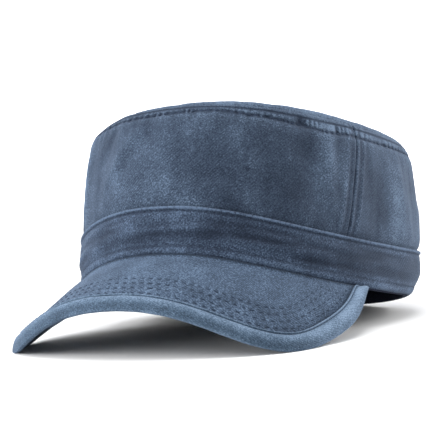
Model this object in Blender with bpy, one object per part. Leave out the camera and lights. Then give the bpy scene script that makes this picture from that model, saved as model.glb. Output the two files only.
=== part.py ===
"""A flat-topped washed-cotton cap with a long curved visor, as it rests on a table.

Metres, +Z up, the front towards -Y and the wearer's left towards +X. Each piece is first shaped
in the cap's own frame, where the head opening lies level. The whole cap is then tipped back
until the visor's corners and the back of the band stand on the table.
"""

import math

import bmesh
import bpy
from mathutils import Matrix, Vector

# Head opening: an oval a little fuller behind than in front.
HEAD_HALF_LENGTH = 0.0998
HEAD_HALF_WIDTH = 0.0877
HEAD_SQUARENESS = 2.28
BACK_FULLNESS = 0.12

# Band round the foot of the crown, of two strips. Its lower edge arches over the visor and dips at the
# sides.
BAND_HEIGHT = 0.0250
BAND_SPREAD = 0.0006
BAND_BULGE = 0.0016
FRONT_ARCH = 0.0082
ARCH_REACH = math.radians(46)
SIDE_DIP = 0.0048
BACK_TUCK = 0.0045
BACK_LIFT = 0.0030
TUCK_TURN = math.radians(122)
TUCK_REACH = math.radians(30)
TUCK_HEIGHT = 0.0156
BAND_SEAM = math.radians(128)

# Crown wall, from the band's top edge to the stitching of the rim, and the rim strip above it. The
# wall leans in by its inset at the front and back and at the sides.
CROWN_HEIGHT = 0.0792
RIM_INSET_LENGTH = 0.0084
RIM_INSET_WIDTH = 0.0046
RIM_SADDLE = 0.0031
RIM_STRIP = 0.0068
RIM_ROLL = 0.0014
RIM_SLUMP = 0.62
FULL_TURN = math.radians(64)
FULL_REACH = math.radians(72)
CROWN_PUFF = 0.0022
CROWN_TUCK = 0.0060
SIDE_SEAM = math.radians(73)
SEAM_WIDTH = 0.0060
SEAM_RIDGE = 0.0006
FOLD_DEPTH = 0.0022

# Flat top panel. Its edge begins to tuck in at a share of the way out from its centre.
TOP_ROUND = 0.0051
TOP_DOME = 0.0026
TOP_TUCK_START = 0.7

# Sweatband inside the band.
SWEATBAND_HEIGHT = 0.0300
SWEATBAND_SHOW = 0.0005

# Visor: its outer edge runs from one end of the joint with the band, forward and down, to the other.
# The sheet and its binding stop at shares of the way to the joint's ends.
VISOR_JOINT = math.radians(78)
VISOR_REACH = 0.0482
VISOR_DROP = 0.0400
VISOR_LIFT = 0.0014
RIGHT_CORNER_LIFT = 0.0040
VISOR_BULGE = 0.0022
VISOR_END = 0.93
BINDING_WIDTH = 0.0088
BINDING_BEAD = 0.0005
BINDING_END = 0.985

# Cloth walls, and the gap that neighbouring pieces keep.
BAND_WALL = 0.0016
CROWN_WALL = 0.0014
TOP_WALL = 0.0014
SWEATBAND_WALL = 0.0012
VISOR_WALL = 0.0020
BINDING_WALL = 0.0010
GAP = 0.0003

# How far the cloth is flattened where the cap stands on it.
REST_PRESS = 0.0008

# Mesh steps round the head, along the visor and across it, and the distance at which points are one.
ROUND_STEPS = 58
VISOR_STEPS = 38
VISOR_ROWS = 9
WELD = 1e-6

# Limits of the visor's shape near its ends: the least squareness of a strip to the edge, the most of
# its length that the binding covers, and the step that finds the edge's direction.
LEAST_SQUARE = 0.3
MOST_BOUND = 0.9
EDGE_STEP = 0.01

# Look of the cloth.
CLOTH_ROUGHNESS = 0.92
SHARP_ANGLE = math.radians(50)

# Outer face of the band. up: share of the band's height; out: share of the band's bulge.
BAND_ROWS = (
    (0.00, -0.10),
    (0.05, 0.45),
    (0.17, 0.50),
    (0.21, 0.10),
    (0.50, 0.90),
    (0.86, 0.35),
    (0.90, 0.62),
    (0.98, 0.55),
    (1.00, 0.05),
)

# Outer face of the crown wall. rise: share of the wall between band and rim stitching; strip: share
# of the rim strip; sink: share of the way in behind the band; puff: share of the crown's puff.
CROWN_ROWS = (
    (0.00, 0.0, 1.00, 0.00),
    (0.06, 0.0, 0.35, 0.10),
    (0.16, 0.0, 0.00, 0.35),
    (0.38, 0.0, 0.00, 0.75),
    (0.60, 0.0, 0.00, 1.00),
    (0.78, 0.0, 0.00, 1.00),
    (0.91, 0.0, 0.00, 0.70),
    (0.97, 0.0, 0.00, 0.30),
    (1.00, 0.0, 0.00, -0.05),
    (1.00, 0.4, 0.00, 0.25),
    (1.00, 0.8, 0.00, 0.10),
    (1.00, 1.0, 0.00, -0.20),
)

# Top panel from its centre to its edge. share: of the way out; fall: share of the edge's rounding.
TOP_ROWS = (
    (0.00, 0.00),
    (0.22, 0.00),
    (0.46, 0.00),
    (0.68, 0.01),
    (0.84, 0.04),
    (0.92, 0.12),
    (0.965, 0.32),
    (0.99, 0.64),
    (1.00, 1.00),
)

# Inner band. up: share of its height; out: share of the way from the crown's inner face to the band's.
SWEATBAND_ROWS = (
    (0.00, 1.0),
    (0.45, 1.0),
    (0.62, 0.0),
    (1.00, 0.0),
)

# Soft folds in the crown wall. turn and lean: where the fold's foot is and how far its head leans
# round, in degrees; width: in degrees; low and high: where up the wall it runs; depth: share of the
# fold depth, outward if positive.
FOLDS = (
    {"turn": -47, "lean": 4, "width": 4, "low": -0.2, "high": 0.9, "depth": 0.45},
    {"turn": -66, "lean": 4, "width": 16, "low": 0.1, "high": 1.2, "depth": 0.55},
    {"turn": -22, "lean": 14, "width": 10, "low": 0.3, "high": 0.9, "depth": 0.25},
    {"turn": 20, "lean": 0, "width": 14, "low": 0.2, "high": 0.8, "depth": -0.30},
    {"turn": 52, "lean": 0, "width": 4, "low": 0.85, "high": 1.2, "depth": -0.60},
    {"turn": 58, "lean": -2, "width": 5, "low": 0.0, "high": 0.8, "depth": -0.30},
    {"turn": 96, "lean": -4, "width": 7, "low": -0.2, "high": 0.9, "depth": 0.50},
    {"turn": 112, "lean": -6, "width": 8, "low": 0.1, "high": 1.0, "depth": -0.60},
    {"turn": 150, "lean": 6, "width": 12, "low": 0.1, "high": 0.9, "depth": 0.35},
    {"turn": -140, "lean": -5, "width": 12, "low": 0.1, "high": 0.9, "depth": -0.40},
    {"turn": -104, "lean": 4, "width": 8, "low": 0.0, "high": 0.9, "depth": 0.40},
)

# Control points of the visor's outer edge from the middle of its front to one end of the joint.
# across: share of the head's half width; ahead: share of the way forward from the joint's ends;
# down: share of the visor's drop.
VISOR_EDGE = (
    (0.000, 1.000, 0.500),
    (0.272, 0.974, 0.535),
    (0.536, 0.912, 0.715),
    (0.775, 0.808, 0.955),
    (0.958, 0.660, 1.020),
    (1.006, 0.472, 0.850),
    (1.072, 0.246, 0.530),
)

# Binding's section. inset: share of its width in from the visor's edge; lift: share of its half depth;
# bead: share of the raised bead's height.
BINDING_OUTER = (
    (1.00, 1.00, 0.0),
    (0.92, 1.00, 1.0),
    (0.76, 1.00, 1.0),
    (0.66, 1.00, 0.0),
    (0.14, 1.00, 0.0),
    (0.02, 0.72, 0.0),
    (-0.03, 0.25, 0.0),
    (-0.03, -0.25, 0.0),
    (0.02, -0.72, 0.0),
    (0.14, -1.00, 0.0),
    (1.00, -1.00, 0.0),
)

# One colour for each piece, as linear red, green and blue.
COLOURS = {
    "crown_top": (0.098, 0.128, 0.192),
    "crown_front": (0.084, 0.112, 0.171),
    "crown_back": (0.084, 0.112, 0.171),
    "band_front": (0.080, 0.106, 0.165),
    "band_back": (0.080, 0.106, 0.165),
    "sweatband": (0.070, 0.082, 0.130),
    "visor": (0.125, 0.172, 0.262),
    "visor_binding": (0.150, 0.205, 0.305),
}


def ease(value):
    """Smooth step from 0 to 1."""
    value = min(max(value, 0.0), 1.0)
    return value * value * (3 - 2 * value)


def head_point(turn, half_length, half_width, height):
    """Point of a head oval: turn 0 is the front, and positive turns go to the wearer's left."""
    power = 2 / HEAD_SQUARENESS
    ahead = math.copysign(abs(math.cos(turn)) ** power, math.cos(turn))
    aside = math.copysign(abs(math.sin(turn)) ** power, math.sin(turn))
    x = half_width * aside * (1 - BACK_FULLNESS * ahead)
    return Vector((x, -half_length * ahead, height))


def curl(turn):
    """Share of the hem's curl, strongest on both sides between the visor and the back."""
    return math.exp(-(((abs(turn) - TUCK_TURN) / TUCK_REACH) ** 2))


def lower_edge(turn):
    """Height of the band's lower edge."""
    arch = FRONT_ARCH * math.exp(-((turn / ARCH_REACH) ** 2))
    return arch - SIDE_DIP * math.sin(turn) ** 2 + BACK_LIFT * curl(turn)


def hem_tuck(turn, up):
    """How far the foot of the band turns inward behind the visor."""
    return BACK_TUCK * curl(turn) * max(1 - BAND_HEIGHT * up / TUCK_HEIGHT, 0.0) ** 2


def band_row(turn, up, out):
    """Half length, half width and height of the band at a share of its height."""
    grow = BAND_SPREAD * up + out - hem_tuck(turn, up)
    height = lower_edge(turn) + BAND_HEIGHT * up
    return (HEAD_HALF_LENGTH + grow, HEAD_HALF_WIDTH + grow, height)


def rim_share(turn):
    """How full the rim strip and the top's edge stand: they slump away from the wearer's left front."""
    away = math.remainder(turn - FULL_TURN, 2 * math.pi) / FULL_REACH
    return 1 - RIM_SLUMP * (1 - math.exp(-away * away))


def rim_height(turn):
    """Height of the rim's stitching: higher at the front and back than at the sides."""
    return CROWN_HEIGHT + RIM_SADDLE * math.cos(2 * turn)


def fold_depth(turn, rise):
    """How far the soft folds move the crown wall outward."""
    total = 0.0
    for fold in FOLDS:
        centre = math.radians(fold["turn"] + fold["lean"] * rise)
        away = math.remainder(turn - centre, 2 * math.pi) / math.radians(fold["width"])
        reach = 0.25 * (fold["high"] - fold["low"])
        within = ease((rise - fold["low"]) / reach) * ease((fold["high"] - rise) / reach)
        total += FOLD_DEPTH * fold["depth"] * within * math.exp(-away * away)
    return total


def seam_ridge(turn, rise):
    """The raised, topstitched edges on both sides of each side seam."""
    away = abs(abs(turn) - SIDE_SEAM) * HEAD_HALF_LENGTH / (0.5 * SEAM_WIDTH)
    return SEAM_RIDGE * math.exp(-((away - 1) ** 2) * 2) * ease(rise / 0.1)


def crown_row(turn, rise, strip, sink, puff):
    """Half length, half width and height of the crown wall's outer face."""
    band_length, band_width, band_height = band_row(turn, 1, 0)
    out = CROWN_PUFF * puff - (BAND_WALL + GAP) * sink - RIM_ROLL * strip
    out += (fold_depth(turn, rise + 0.1 * strip) + seam_ridge(turn, rise)) * (1 - sink)
    half_length = band_length + (HEAD_HALF_LENGTH - RIM_INSET_LENGTH - band_length) * rise + out
    half_width = band_width + (HEAD_HALF_WIDTH - RIM_INSET_WIDTH - band_width) * rise + out
    height = band_height + (rim_height(turn) - band_height) * rise
    height += RIM_STRIP * strip * rim_share(turn)
    return (half_length, half_width, height)


def walled_loop(turn, rows, wall):
    """Closed section at one turn: the outer face's rows, then the inner face one wall inside."""
    spans = [row[0] * math.cos(turn) ** 2 + row[1] * math.sin(turn) ** 2 for row in rows]
    inner = []
    for index, row in enumerate(rows):
        before = max(index - 1, 0)
        after = min(index + 1, len(rows) - 1)
        out_step = spans[after] - spans[before]
        up_step = rows[after][2] - rows[before][2]
        size = math.hypot(out_step, up_step)
        inward = wall * up_step / size
        inner.append((row[0] - inward, row[1] - inward, row[2] + wall * out_step / size))
    return [head_point(turn, *row) for row in rows + inner[::-1]]


def band_loop(turn):
    """Section of the band."""
    rows = [band_row(turn, up, BAND_BULGE * out) for up, out in BAND_ROWS]
    return walled_loop(turn, rows, BAND_WALL)


def crown_loop(turn):
    """Section of the crown wall, with its foot tucked in behind the band."""
    rows = [crown_row(turn, *row) for row in CROWN_ROWS]
    foot = rows[0]
    return walled_loop(turn, [(foot[0], foot[1], foot[2] - CROWN_TUCK)] + rows, CROWN_WALL)


def top_loop(turn):
    """Section of the top panel from its centre out to the rim seam and back underneath."""
    seam_length, seam_width, seam_height = crown_row(turn, *CROWN_ROWS[-1])
    edge = seam_height + GAP
    full = 1 - 0.5 * RIM_SLUMP
    middle = CROWN_HEIGHT + RIM_STRIP * full + GAP + TOP_DOME
    rows = []
    for share, fall in TOP_ROWS:
        near = share * share
        rounded = TOP_ROUND * (1 - fall) * (rim_share(turn) * near + full * (1 - near))
        rows.append((share, edge * near + middle * (1 - near) + rounded))
    top = [head_point(turn, seam_length * share, seam_width * share, height) for share, height in rows]
    shrink = TOP_WALL / HEAD_HALF_LENGTH
    under = []
    for share, height in rows:
        rim = ease((share - TOP_TUCK_START) / (1 - TOP_TUCK_START))
        tucked = share * (1 - shrink * rim)
        lowered = max(height - TOP_WALL, edge) if rim > 0.5 else height - TOP_WALL
        under.append(head_point(turn, seam_length * tucked, seam_width * tucked, lowered))
    return top + under[::-1]


def sweatband_loop(turn):
    """Section of the sweatband: against the band at its foot, inside the crown wall above."""
    rows = []
    for up, out in SWEATBAND_ROWS:
        height = lower_edge(turn) - SWEATBAND_SHOW + SWEATBAND_HEIGHT * up
        inside = BAND_WALL + GAP + (CROWN_WALL + GAP) * (1 - out)
        grow = -inside - hem_tuck(turn, SWEATBAND_HEIGHT * up / BAND_HEIGHT)
        rows.append((HEAD_HALF_LENGTH + grow, HEAD_HALF_WIDTH + grow, height))
    return walled_loop(turn, rows, SWEATBAND_WALL)


def joint_point(share):
    """Point of the visor's joint under the band's lower edge; share runs from -1 to 1."""
    turn = share * VISOR_JOINT
    half_length, half_width, height = band_row(turn, 0, -0.5 * BAND_WALL)
    return head_point(turn, half_length, half_width, height - GAP - 0.5 * VISOR_WALL)


def visor_controls():
    """Control points of the whole outer edge, from the wearer's right end to the left."""
    end = joint_point(1)
    front = HEAD_HALF_LENGTH + VISOR_REACH
    left = []
    right = []
    for across, ahead, down in VISOR_EDGE:
        y = end.y - (front + end.y) * ahead
        z = end.z + VISOR_LIFT - VISOR_DROP * down
        bent = RIGHT_CORNER_LIFT * across * down
        left.append(Vector((HEAD_HALF_WIDTH * across, y, z)))
        right.append(Vector((-HEAD_HALF_WIDTH * across, y, z + bent)))
    return [joint_point(-1)] + right[:0:-1] + left + [end]


def edge_point(share, controls):
    """Point of the outer edge on a cubic B-spline through the control points."""
    spans = len(controls) - 1
    place = min(max(0.5 * (share + 1), 0.0), 1.0) * spans
    index = min(int(place), spans - 1)
    along = place - index
    first = controls[index - 1] if index else 2 * controls[0] - controls[1]
    last = controls[index + 2] if index + 2 <= spans else 2 * controls[-1] - controls[-2]
    weights = (
        (1 - along) ** 3,
        3 * along**3 - 6 * along**2 + 4,
        -3 * along**3 + 3 * along**2 + 3 * along + 1,
        along**3,
    )
    points = (first, controls[index], controls[index + 1], last)
    return sum((point * weight for point, weight in zip(points, weights)), Vector()) / 6


def visor_point(share, out, controls):
    """Point of the visor's middle surface: out is 0 at the joint and 1 at the outer edge."""
    joint = joint_point(share)
    edge = edge_point(share, controls)
    arch = VISOR_BULGE * math.sin(math.pi * min(max(out, 0.0), 1.0))
    return joint.lerp(edge, out) + Vector((0, 0, arch))


def visor_station(share, controls):
    """The visor's edge point there, its length, its upward normal and how square the strip is to it."""
    side = edge_point(share + EDGE_STEP, controls) - edge_point(share - EDGE_STEP, controls)
    ruling = edge_point(share, controls) - joint_point(share)
    normal = side.cross(ruling)
    normal = normal if normal.z > 0 else -normal
    square = side.normalized().cross(ruling.normalized()).length
    return ruling.length, normal.normalized(), max(square, LEAST_SQUARE)


def visor_shares(last):
    """Evenly spaced places along the visor."""
    return [last * (2 * index / VISOR_STEPS - 1) for index in range(VISOR_STEPS + 1)]


def visor_loops(controls):
    """Sections of the visor's sheet, from under the band to inside the binding."""
    last = VISOR_ROWS - 1
    loops = []
    for share in visor_shares(VISOR_END):
        length, normal, square = visor_station(share, controls)
        hem = (BINDING_WALL + GAP) / (square * length)
        half = normal * (0.5 * VISOR_WALL)
        middle = [visor_point(share, (1 - hem) * row / last, controls) for row in range(VISOR_ROWS)]
        loops.append([point + half for point in middle] + [point - half for point in middle[::-1]])
    return loops


def binding_loops(controls):
    """Sections of the binding: a strip folded over the visor's edge."""
    outer = 0.5 * VISOR_WALL + GAP + BINDING_WALL
    inner = 0.5 * VISOR_WALL + GAP
    loops = []
    for share in visor_shares(BINDING_END):
        length, normal, square = visor_station(share, controls)
        width = min(BINDING_WIDTH / (square * length), MOST_BOUND)
        web = BINDING_WALL / (square * length)
        outside = []
        inside = []
        for inset, lift, bead in BINDING_OUTER:
            face = outer * lift + BINDING_BEAD * bead
            outside.append(visor_point(share, 1 - width * inset, controls) + normal * face)
            back = max(width * inset, web)
            inside.append(visor_point(share, 1 - back, controls) + normal * inner * lift)
        loops.append(outside + inside[::-1])
    return loops


def zipped(loop):
    """The same section drawn together onto its middle line, which closes a wall's end."""
    return [(point + facing) / 2 for point, facing in zip(loop, loop[::-1])]


def bent_wall(loops, ring):
    """One closed solid: a flat grid bent so that each of its rows becomes one section loop."""
    rows = loops + loops[:1] if ring else [zipped(loops[0])] + loops + [zipped(loops[-1])]
    across = len(rows[0])
    steps = len(rows) - 1
    work = bmesh.new()
    bmesh.ops.create_grid(work, x_segments=across, y_segments=steps, size=0.5)
    for vert in work.verts:
        column = round((vert.co.x + 0.5) * across)
        row = round((vert.co.y + 0.5) * steps)
        vert.co = rows[row][column % across]
    bmesh.ops.remove_doubles(work, verts=work.verts, dist=WELD)
    bmesh.ops.recalc_face_normals(work, faces=work.faces)
    return work


def round_turns():
    """Even turns once round the head."""
    return [2 * math.pi * index / ROUND_STEPS - math.pi for index in range(ROUND_STEPS)]


def panel_turns(start, end):
    """Turns across one wall panel, closer together beside its seams."""
    margin = 0.5 * GAP / HEAD_HALF_LENGTH
    seam = SEAM_WIDTH / HEAD_HALF_LENGTH
    steps = round(ROUND_STEPS * (end - start) / (2 * math.pi))
    inner_start = start + seam
    inner_end = end - seam
    middle = [inner_start + (inner_end - inner_start) * index / steps for index in range(steps + 1)]
    return [start + margin, start + seam / 2] + middle + [end - seam / 2, end - margin]


def strip_turns(start, end):
    """Turns along one strip of the band: its two ends and the even turns between them."""
    margin = 0.5 * GAP / HEAD_HALF_LENGTH
    step = 2 * math.pi / ROUND_STEPS
    first = math.ceil(start / step + 0.5)
    last = math.floor(end / step - 0.5)
    return [start + margin] + [step * index for index in range(first, last + 1)] + [end - margin]


def lowest(points, side):
    """Lowest of the points on one side."""
    return min((point for point in points if side(point)), key=lambda point: point.z)


def resting_turn(points):
    """Turn at which the two visor corners and the back of the band stand level."""
    turn = Matrix.Identity(3)
    for _ in range(12):
        turned = [turn @ point for point in points]
        front = lowest(turned, lambda point: point.y < 0)
        back = lowest(turned, lambda point: point.y > 0)
        turn = Matrix.Rotation(-math.atan2(back.z - front.z, back.y - front.y), 3, "X") @ turn
        ahead = [point for point in (turn @ point for point in points) if point.y < -HEAD_HALF_LENGTH / 2]
        left = lowest(ahead, lambda point: point.x > 0)
        right = lowest(ahead, lambda point: point.x < 0)
        turn = Matrix.Rotation(math.atan2(left.z - right.z, left.x - right.x), 3, "Y") @ turn
    return turn.to_4x4()


def set_down(pieces):
    """Tips the cap onto its resting points, centres it and flattens the cloth that it stands on."""
    points = [vert.co.copy() for work in pieces.values() for vert in work.verts]
    turn = resting_turn(points)
    turned = [turn @ point for point in points]
    xs = [point.x for point in turned]
    ys = [point.y for point in turned]
    floor = min(point.z for point in turned) + REST_PRESS
    centre = Vector((-(min(xs) + max(xs)) / 2, -(min(ys) + max(ys)) / 2, -floor))
    for work in pieces.values():
        bmesh.ops.transform(work, matrix=Matrix.Translation(centre) @ turn, verts=work.verts)
        for vert in work.verts:
            vert.co.z = max(vert.co.z, 0.0)


def cloth(name):
    """Matt cloth in the piece's own colour."""
    material = bpy.data.materials.new(name + "_cloth")
    material.use_nodes = True
    shader = material.node_tree.nodes["Principled BSDF"]
    shader.inputs["Base Color"].default_value = (*COLOURS[name], 1)
    shader.inputs["Roughness"].default_value = CLOTH_ROUGHNESS
    shader.inputs["Metallic"].default_value = 0.0
    return material


def add_piece(name, work):
    """Turns a finished shape into a named object."""
    bmesh.ops.triangulate(work, faces=work.faces)
    mesh = bpy.data.meshes.new(name)
    work.to_mesh(mesh)
    work.free()
    mesh.shade_smooth()
    mesh.set_sharp_from_angle(angle=SHARP_ANGLE)
    mesh.materials.append(cloth(name))
    bpy.context.scene.collection.objects.link(bpy.data.objects.new(name, mesh))


def build_cap():
    """Shapes every piece, stands the cap on the table and adds the objects."""
    controls = visor_controls()
    front = panel_turns(-SIDE_SEAM, SIDE_SEAM)
    back = panel_turns(SIDE_SEAM, 2 * math.pi - SIDE_SEAM)
    front_strip = strip_turns(-BAND_SEAM, BAND_SEAM)
    back_strip = strip_turns(BAND_SEAM, 2 * math.pi - BAND_SEAM)
    pieces = {
        "crown_top": bent_wall([top_loop(turn) for turn in round_turns()], ring=True),
        "crown_front": bent_wall([crown_loop(turn) for turn in front], ring=False),
        "crown_back": bent_wall(
            [crown_loop(math.remainder(turn, 2 * math.pi)) for turn in back], ring=False
        ),
        "band_front": bent_wall([band_loop(turn) for turn in front_strip], ring=False),
        "band_back": bent_wall(
            [band_loop(math.remainder(turn, 2 * math.pi)) for turn in back_strip], ring=False
        ),
        "sweatband": bent_wall([sweatband_loop(turn) for turn in round_turns()], ring=True),
        "visor": bent_wall(visor_loops(controls), ring=False),
        "visor_binding": bent_wall(binding_loops(controls), ring=False),
    }
    set_down(pieces)
    for name, work in pieces.items():
        add_piece(name, work)


for leftover in list(bpy.data.objects):
    bpy.data.objects.remove(leftover)
build_cap()
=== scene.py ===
# %% [markdown]
# This lesson dresses one washed cotton cap. A fixed model gives the size and place of each piece.
# Every piece of cloth is made again here with a finer mesh, from the same sizes, so that folds,
# puckers and rows of stitching are real shapes. The model's own pieces are then hidden behind them.
# Lengths are in metres, and MM turns millimetres into them.

# %% The fixed frame
import math
from bisect import bisect_right

import bmesh
import bpy
from mathutils import Euler, Matrix, Vector, noise


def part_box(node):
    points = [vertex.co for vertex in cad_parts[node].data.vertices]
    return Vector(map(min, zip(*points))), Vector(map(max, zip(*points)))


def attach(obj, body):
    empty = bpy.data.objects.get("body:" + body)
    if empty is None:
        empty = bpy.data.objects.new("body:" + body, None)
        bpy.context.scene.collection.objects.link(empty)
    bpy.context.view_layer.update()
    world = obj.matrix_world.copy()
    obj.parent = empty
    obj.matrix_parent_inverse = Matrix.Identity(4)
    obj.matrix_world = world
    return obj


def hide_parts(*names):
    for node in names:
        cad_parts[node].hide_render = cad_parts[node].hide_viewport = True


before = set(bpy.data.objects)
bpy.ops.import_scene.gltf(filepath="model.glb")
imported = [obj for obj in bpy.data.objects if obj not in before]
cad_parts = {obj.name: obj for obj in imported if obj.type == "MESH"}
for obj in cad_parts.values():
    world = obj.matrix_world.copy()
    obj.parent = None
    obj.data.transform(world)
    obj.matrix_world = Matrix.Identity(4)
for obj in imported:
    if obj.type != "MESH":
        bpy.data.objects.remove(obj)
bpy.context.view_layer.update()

MM = 0.001
print("pieces of the frame:", sorted(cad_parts))

# %% [markdown]
# A few small helpers come first. One eases between 0 and 1, and one draws a bump of a given width.
# Cloth wrinkles are long one way and narrow the other, so the noise that draws them has cells of two
# sizes. A kind of wave is a small table of its depth, its two cell sizes and the layer of noise.


# %% Helpers for soft shapes
def ease(value):
    """Smooth step from 0 to 1."""
    value = min(max(value, 0.0), 1.0)
    return value * value * (3 - 2 * value)


def bump(away, width):
    """A rounded bump, 1 at its middle."""
    return math.exp(-((away / width) ** 2))


def turned_bump(turn, middle, width):
    """A rounded bump on the way round the head, with its middle and width in degrees."""
    return bump(math.remainder(turn - math.radians(middle), math.tau), math.radians(width))


def wrinkle(along, across, long, tall, layer):
    """Noise from about -1 to 1 with cells of two sizes, in metres."""
    return noise.noise(Vector((along / long, across / tall, layer)))


def wave(kind, along, across):
    """A wrinkle of a named kind. The kind's sizes are in millimetres."""
    cells = (kind["long"] * MM, kind["tall"] * MM)
    return kind["depth"] * wrinkle(along, across, *cells, kind["layer"])


print("ease at a quarter:", ease(0.25), "and bump at its width:", round(bump(1, 1), 3))

# %% [markdown]
# The section of each piece is a short table that runs from its foot to its head. Smooth curves through
# the rows of the table give as many rows as the fine mesh needs, and more where the cloth bends
# sharply.


# %% Smooth section tables
def smooth_rows(rows, counts):
    """Rows of a table with more rows between them, on smooth curves through the given ones."""
    found = []
    for index, steps in enumerate(counts):
        near = [rows[min(max(index + step, 0), len(rows) - 1)] for step in (-1, 0, 1, 2)]
        for step in range(steps):
            t = step / steps
            weights = (
                (-t + 2 * t * t - t**3) / 2,
                (2 - 5 * t * t + 3 * t**3) / 2,
                (t + 4 * t * t - 3 * t**3) / 2,
                (t**3 - t * t) / 2,
            )
            columns = zip(*near)
            found.append(tuple(sum(w * v for w, v in zip(weights, column)) for column in columns))
    return found + [rows[-1]]


print("half way between 0 and 1:", smooth_rows(((0.0,), (1.0,)), (2,))[1])

# %% [markdown]
# The head opening is an oval, a little squarer than an ellipse and fuller at the back. The band, the
# wall and the top are all rings of that oval. A turn of 0 is the front, and positive turns go to the
# wearer's left.

# %% The head's oval
HEAD_HALF_LENGTH = 0.0998
HEAD_HALF_WIDTH = 0.0877
HEAD_SQUARENESS = 2.28
BACK_FULLNESS = 0.12


def head_point(turn, half_length, half_width, height):
    """Point of a head oval."""
    power = 2 / HEAD_SQUARENESS
    ahead = math.copysign(abs(math.cos(turn)) ** power, math.cos(turn))
    aside = math.copysign(abs(math.sin(turn)) ** power, math.sin(turn))
    x = half_width * aside * (1 - BACK_FULLNESS * ahead)
    return Vector((x, -half_length * ahead, height))


def arc(turn):
    """Rough distance round the head, in metres."""
    return turn * 0.5 * (HEAD_HALF_LENGTH + HEAD_HALF_WIDTH)


def round_turns(count):
    """Turns all round the head, from the back over the front to the back."""
    return [math.tau * index / count - math.pi for index in range(count)]


ring = [head_point(turn, HEAD_HALF_LENGTH, HEAD_HALF_WIDTH, 0) for turn in round_turns(360)]
around = sum((ring[index] - ring[index - 1]).length for index in range(len(ring)))
print("the band's foot measures", round(around / MM), "mm round")

# %% [markdown]
# The band stands on the oval. Its lower edge arches up over the visor, dips at the sides, and curls in
# and up behind them, where the washed hem has shrunk. Small functions for each of these keep the
# places that the other pieces need, such as the line that the visor hangs from.

# %% The band's ring
BAND_HEIGHT = 0.0250
BAND_SPREAD = 0.0006
BAND_BULGE = 0.0016
BAND_WALL = 0.0016
FRONT_ARCH = 0.0082
ARCH_REACH = math.radians(46)
SIDE_DIP = 0.0048
BACK_TUCK = 0.0045
BACK_LIFT = 0.0030
TUCK_TURN = math.radians(122)
TUCK_REACH = math.radians(30)


def curl(turn):
    """Share of the hem's curl, strongest between the visor and the back."""
    return bump(abs(turn) - TUCK_TURN, TUCK_REACH)


def lower_edge(turn):
    """Height of the band's lower edge."""
    return FRONT_ARCH * bump(turn, ARCH_REACH) - SIDE_DIP * math.sin(turn) ** 2 + BACK_LIFT * curl(turn)


def hem_tuck(turn, up):
    """How far the band's foot turns inward."""
    return BACK_TUCK * curl(turn) * max(1 - 1.6 * up, 0.0) ** 2


def band_row(turn, up, out):
    """Half length, half width and height of the band."""
    grow = BAND_SPREAD * up + out - hem_tuck(turn, up)
    return (HEAD_HALF_LENGTH + grow, HEAD_HALF_WIDTH + grow, lower_edge(turn) + BAND_HEIGHT * up)


print("the lower edge runs from", lower_edge(0), "in front to", round(lower_edge(math.pi / 2), 4))

# %% [markdown]
# The crown wall leans in a little from the band to the rim, and ends in a strip between two lines of
# stitching. That strip stands full at the wearer's left front and slumps elsewhere, as worn cloth does.

# %% The crown's ring
CROWN_HEIGHT = 0.0792
WALL_HEIGHT = CROWN_HEIGHT - BAND_HEIGHT
CROWN_WALL = 0.0014
CROWN_PUFF = 0.0022
GAP = 0.0003
RIM_HALF_LENGTH = 0.0914
RIM_HALF_WIDTH = 0.0831
RIM_SADDLE = 0.0031
RIM_STRIP = 0.0068
RIM_ROLL = 0.0014
RIM_SLUMP = 0.62
# Where the rim stands full and how far that reaches round, in degrees.
FULL_TURN = 64
FULL_REACH = 72


def rim_share(turn):
    """How full the rim stands."""
    return 1 - RIM_SLUMP * (1 - turned_bump(turn, FULL_TURN, FULL_REACH))


def crown_row(turn, rise, strip, sink, puff):
    """Half length, half width and height of the crown wall."""
    band_length, band_width, band_height = band_row(turn, 1, 0)
    out = CROWN_PUFF * puff - (BAND_BULGE + GAP) * sink - RIM_ROLL * strip
    half_length = band_length + (RIM_HALF_LENGTH - band_length) * rise + out
    half_width = band_width + (RIM_HALF_WIDTH - band_width) * rise + out
    rim = CROWN_HEIGHT + RIM_SADDLE * math.cos(2 * turn)
    height = band_height + (rim - band_height) * rise + RIM_STRIP * strip * rim_share(turn)
    return (half_length, half_width, height)


print("the rim's strip is", round(RIM_STRIP * rim_share(0) / MM, 1), "mm tall in front")

# %% [markdown]
# One function makes every sheet of cloth. It starts from a flat grid, bends each row of the grid into
# one section of the piece, and welds the edges that meet, so the result is a closed wall. Extruding
# edges would do it too, but a grid gives each point its row and column. The grid also carries a map in
# millimetres, which the weave follows, and the wear of each point together with the light and shade
# painted on it.


# %% Bending a grid into a wall
def zipped(loop):
    """The same section drawn together onto its middle line, which closes a wall's end."""
    half = len(loop)
    return [(loop[i][0].lerp(loop[half - 1 - i][0], 0.5), loop[i][1]) for i in range(half)]


def bent_wall(loops, ring, step, across):
    """A closed wall from loops of (point, worn dye with painted light and shade). step, across: sizes of
    its map.
    """
    rows = loops + loops[:1] if ring else [zipped(loops[0])] + loops + [zipped(loops[-1])]
    width = len(rows[0])
    steps = len(rows) - 1
    work = bmesh.new()
    bmesh.ops.create_grid(work, x_segments=width, y_segments=steps, size=0.5)
    uv_layer = work.loops.layers.uv.new("weave")
    wear_and_shading_layer = work.verts.layers.float.new("wear_and_shading")
    for vert in work.verts:
        column = round((vert.co.x + 0.5) * width)
        row = round((vert.co.y + 0.5) * steps)
        for corner in vert.link_loops:
            corner[uv_layer].uv = (row * step / MM, column * across / MM)
        point, wear_and_shading = rows[row][column % width]
        vert[wear_and_shading_layer] = wear_and_shading
        vert.co = point
    bmesh.ops.remove_doubles(work, verts=work.verts, dist=1e-6)
    bmesh.ops.recalc_face_normals(work, faces=work.faces)
    return work


flat = bent_wall([[(Vector((x, y, 0)), 0) for x in range(2)] for y in range(2)], False, 1, 1)
print("a grid bent from two loops has", len(flat.verts), "points")
flat.free()
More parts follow.
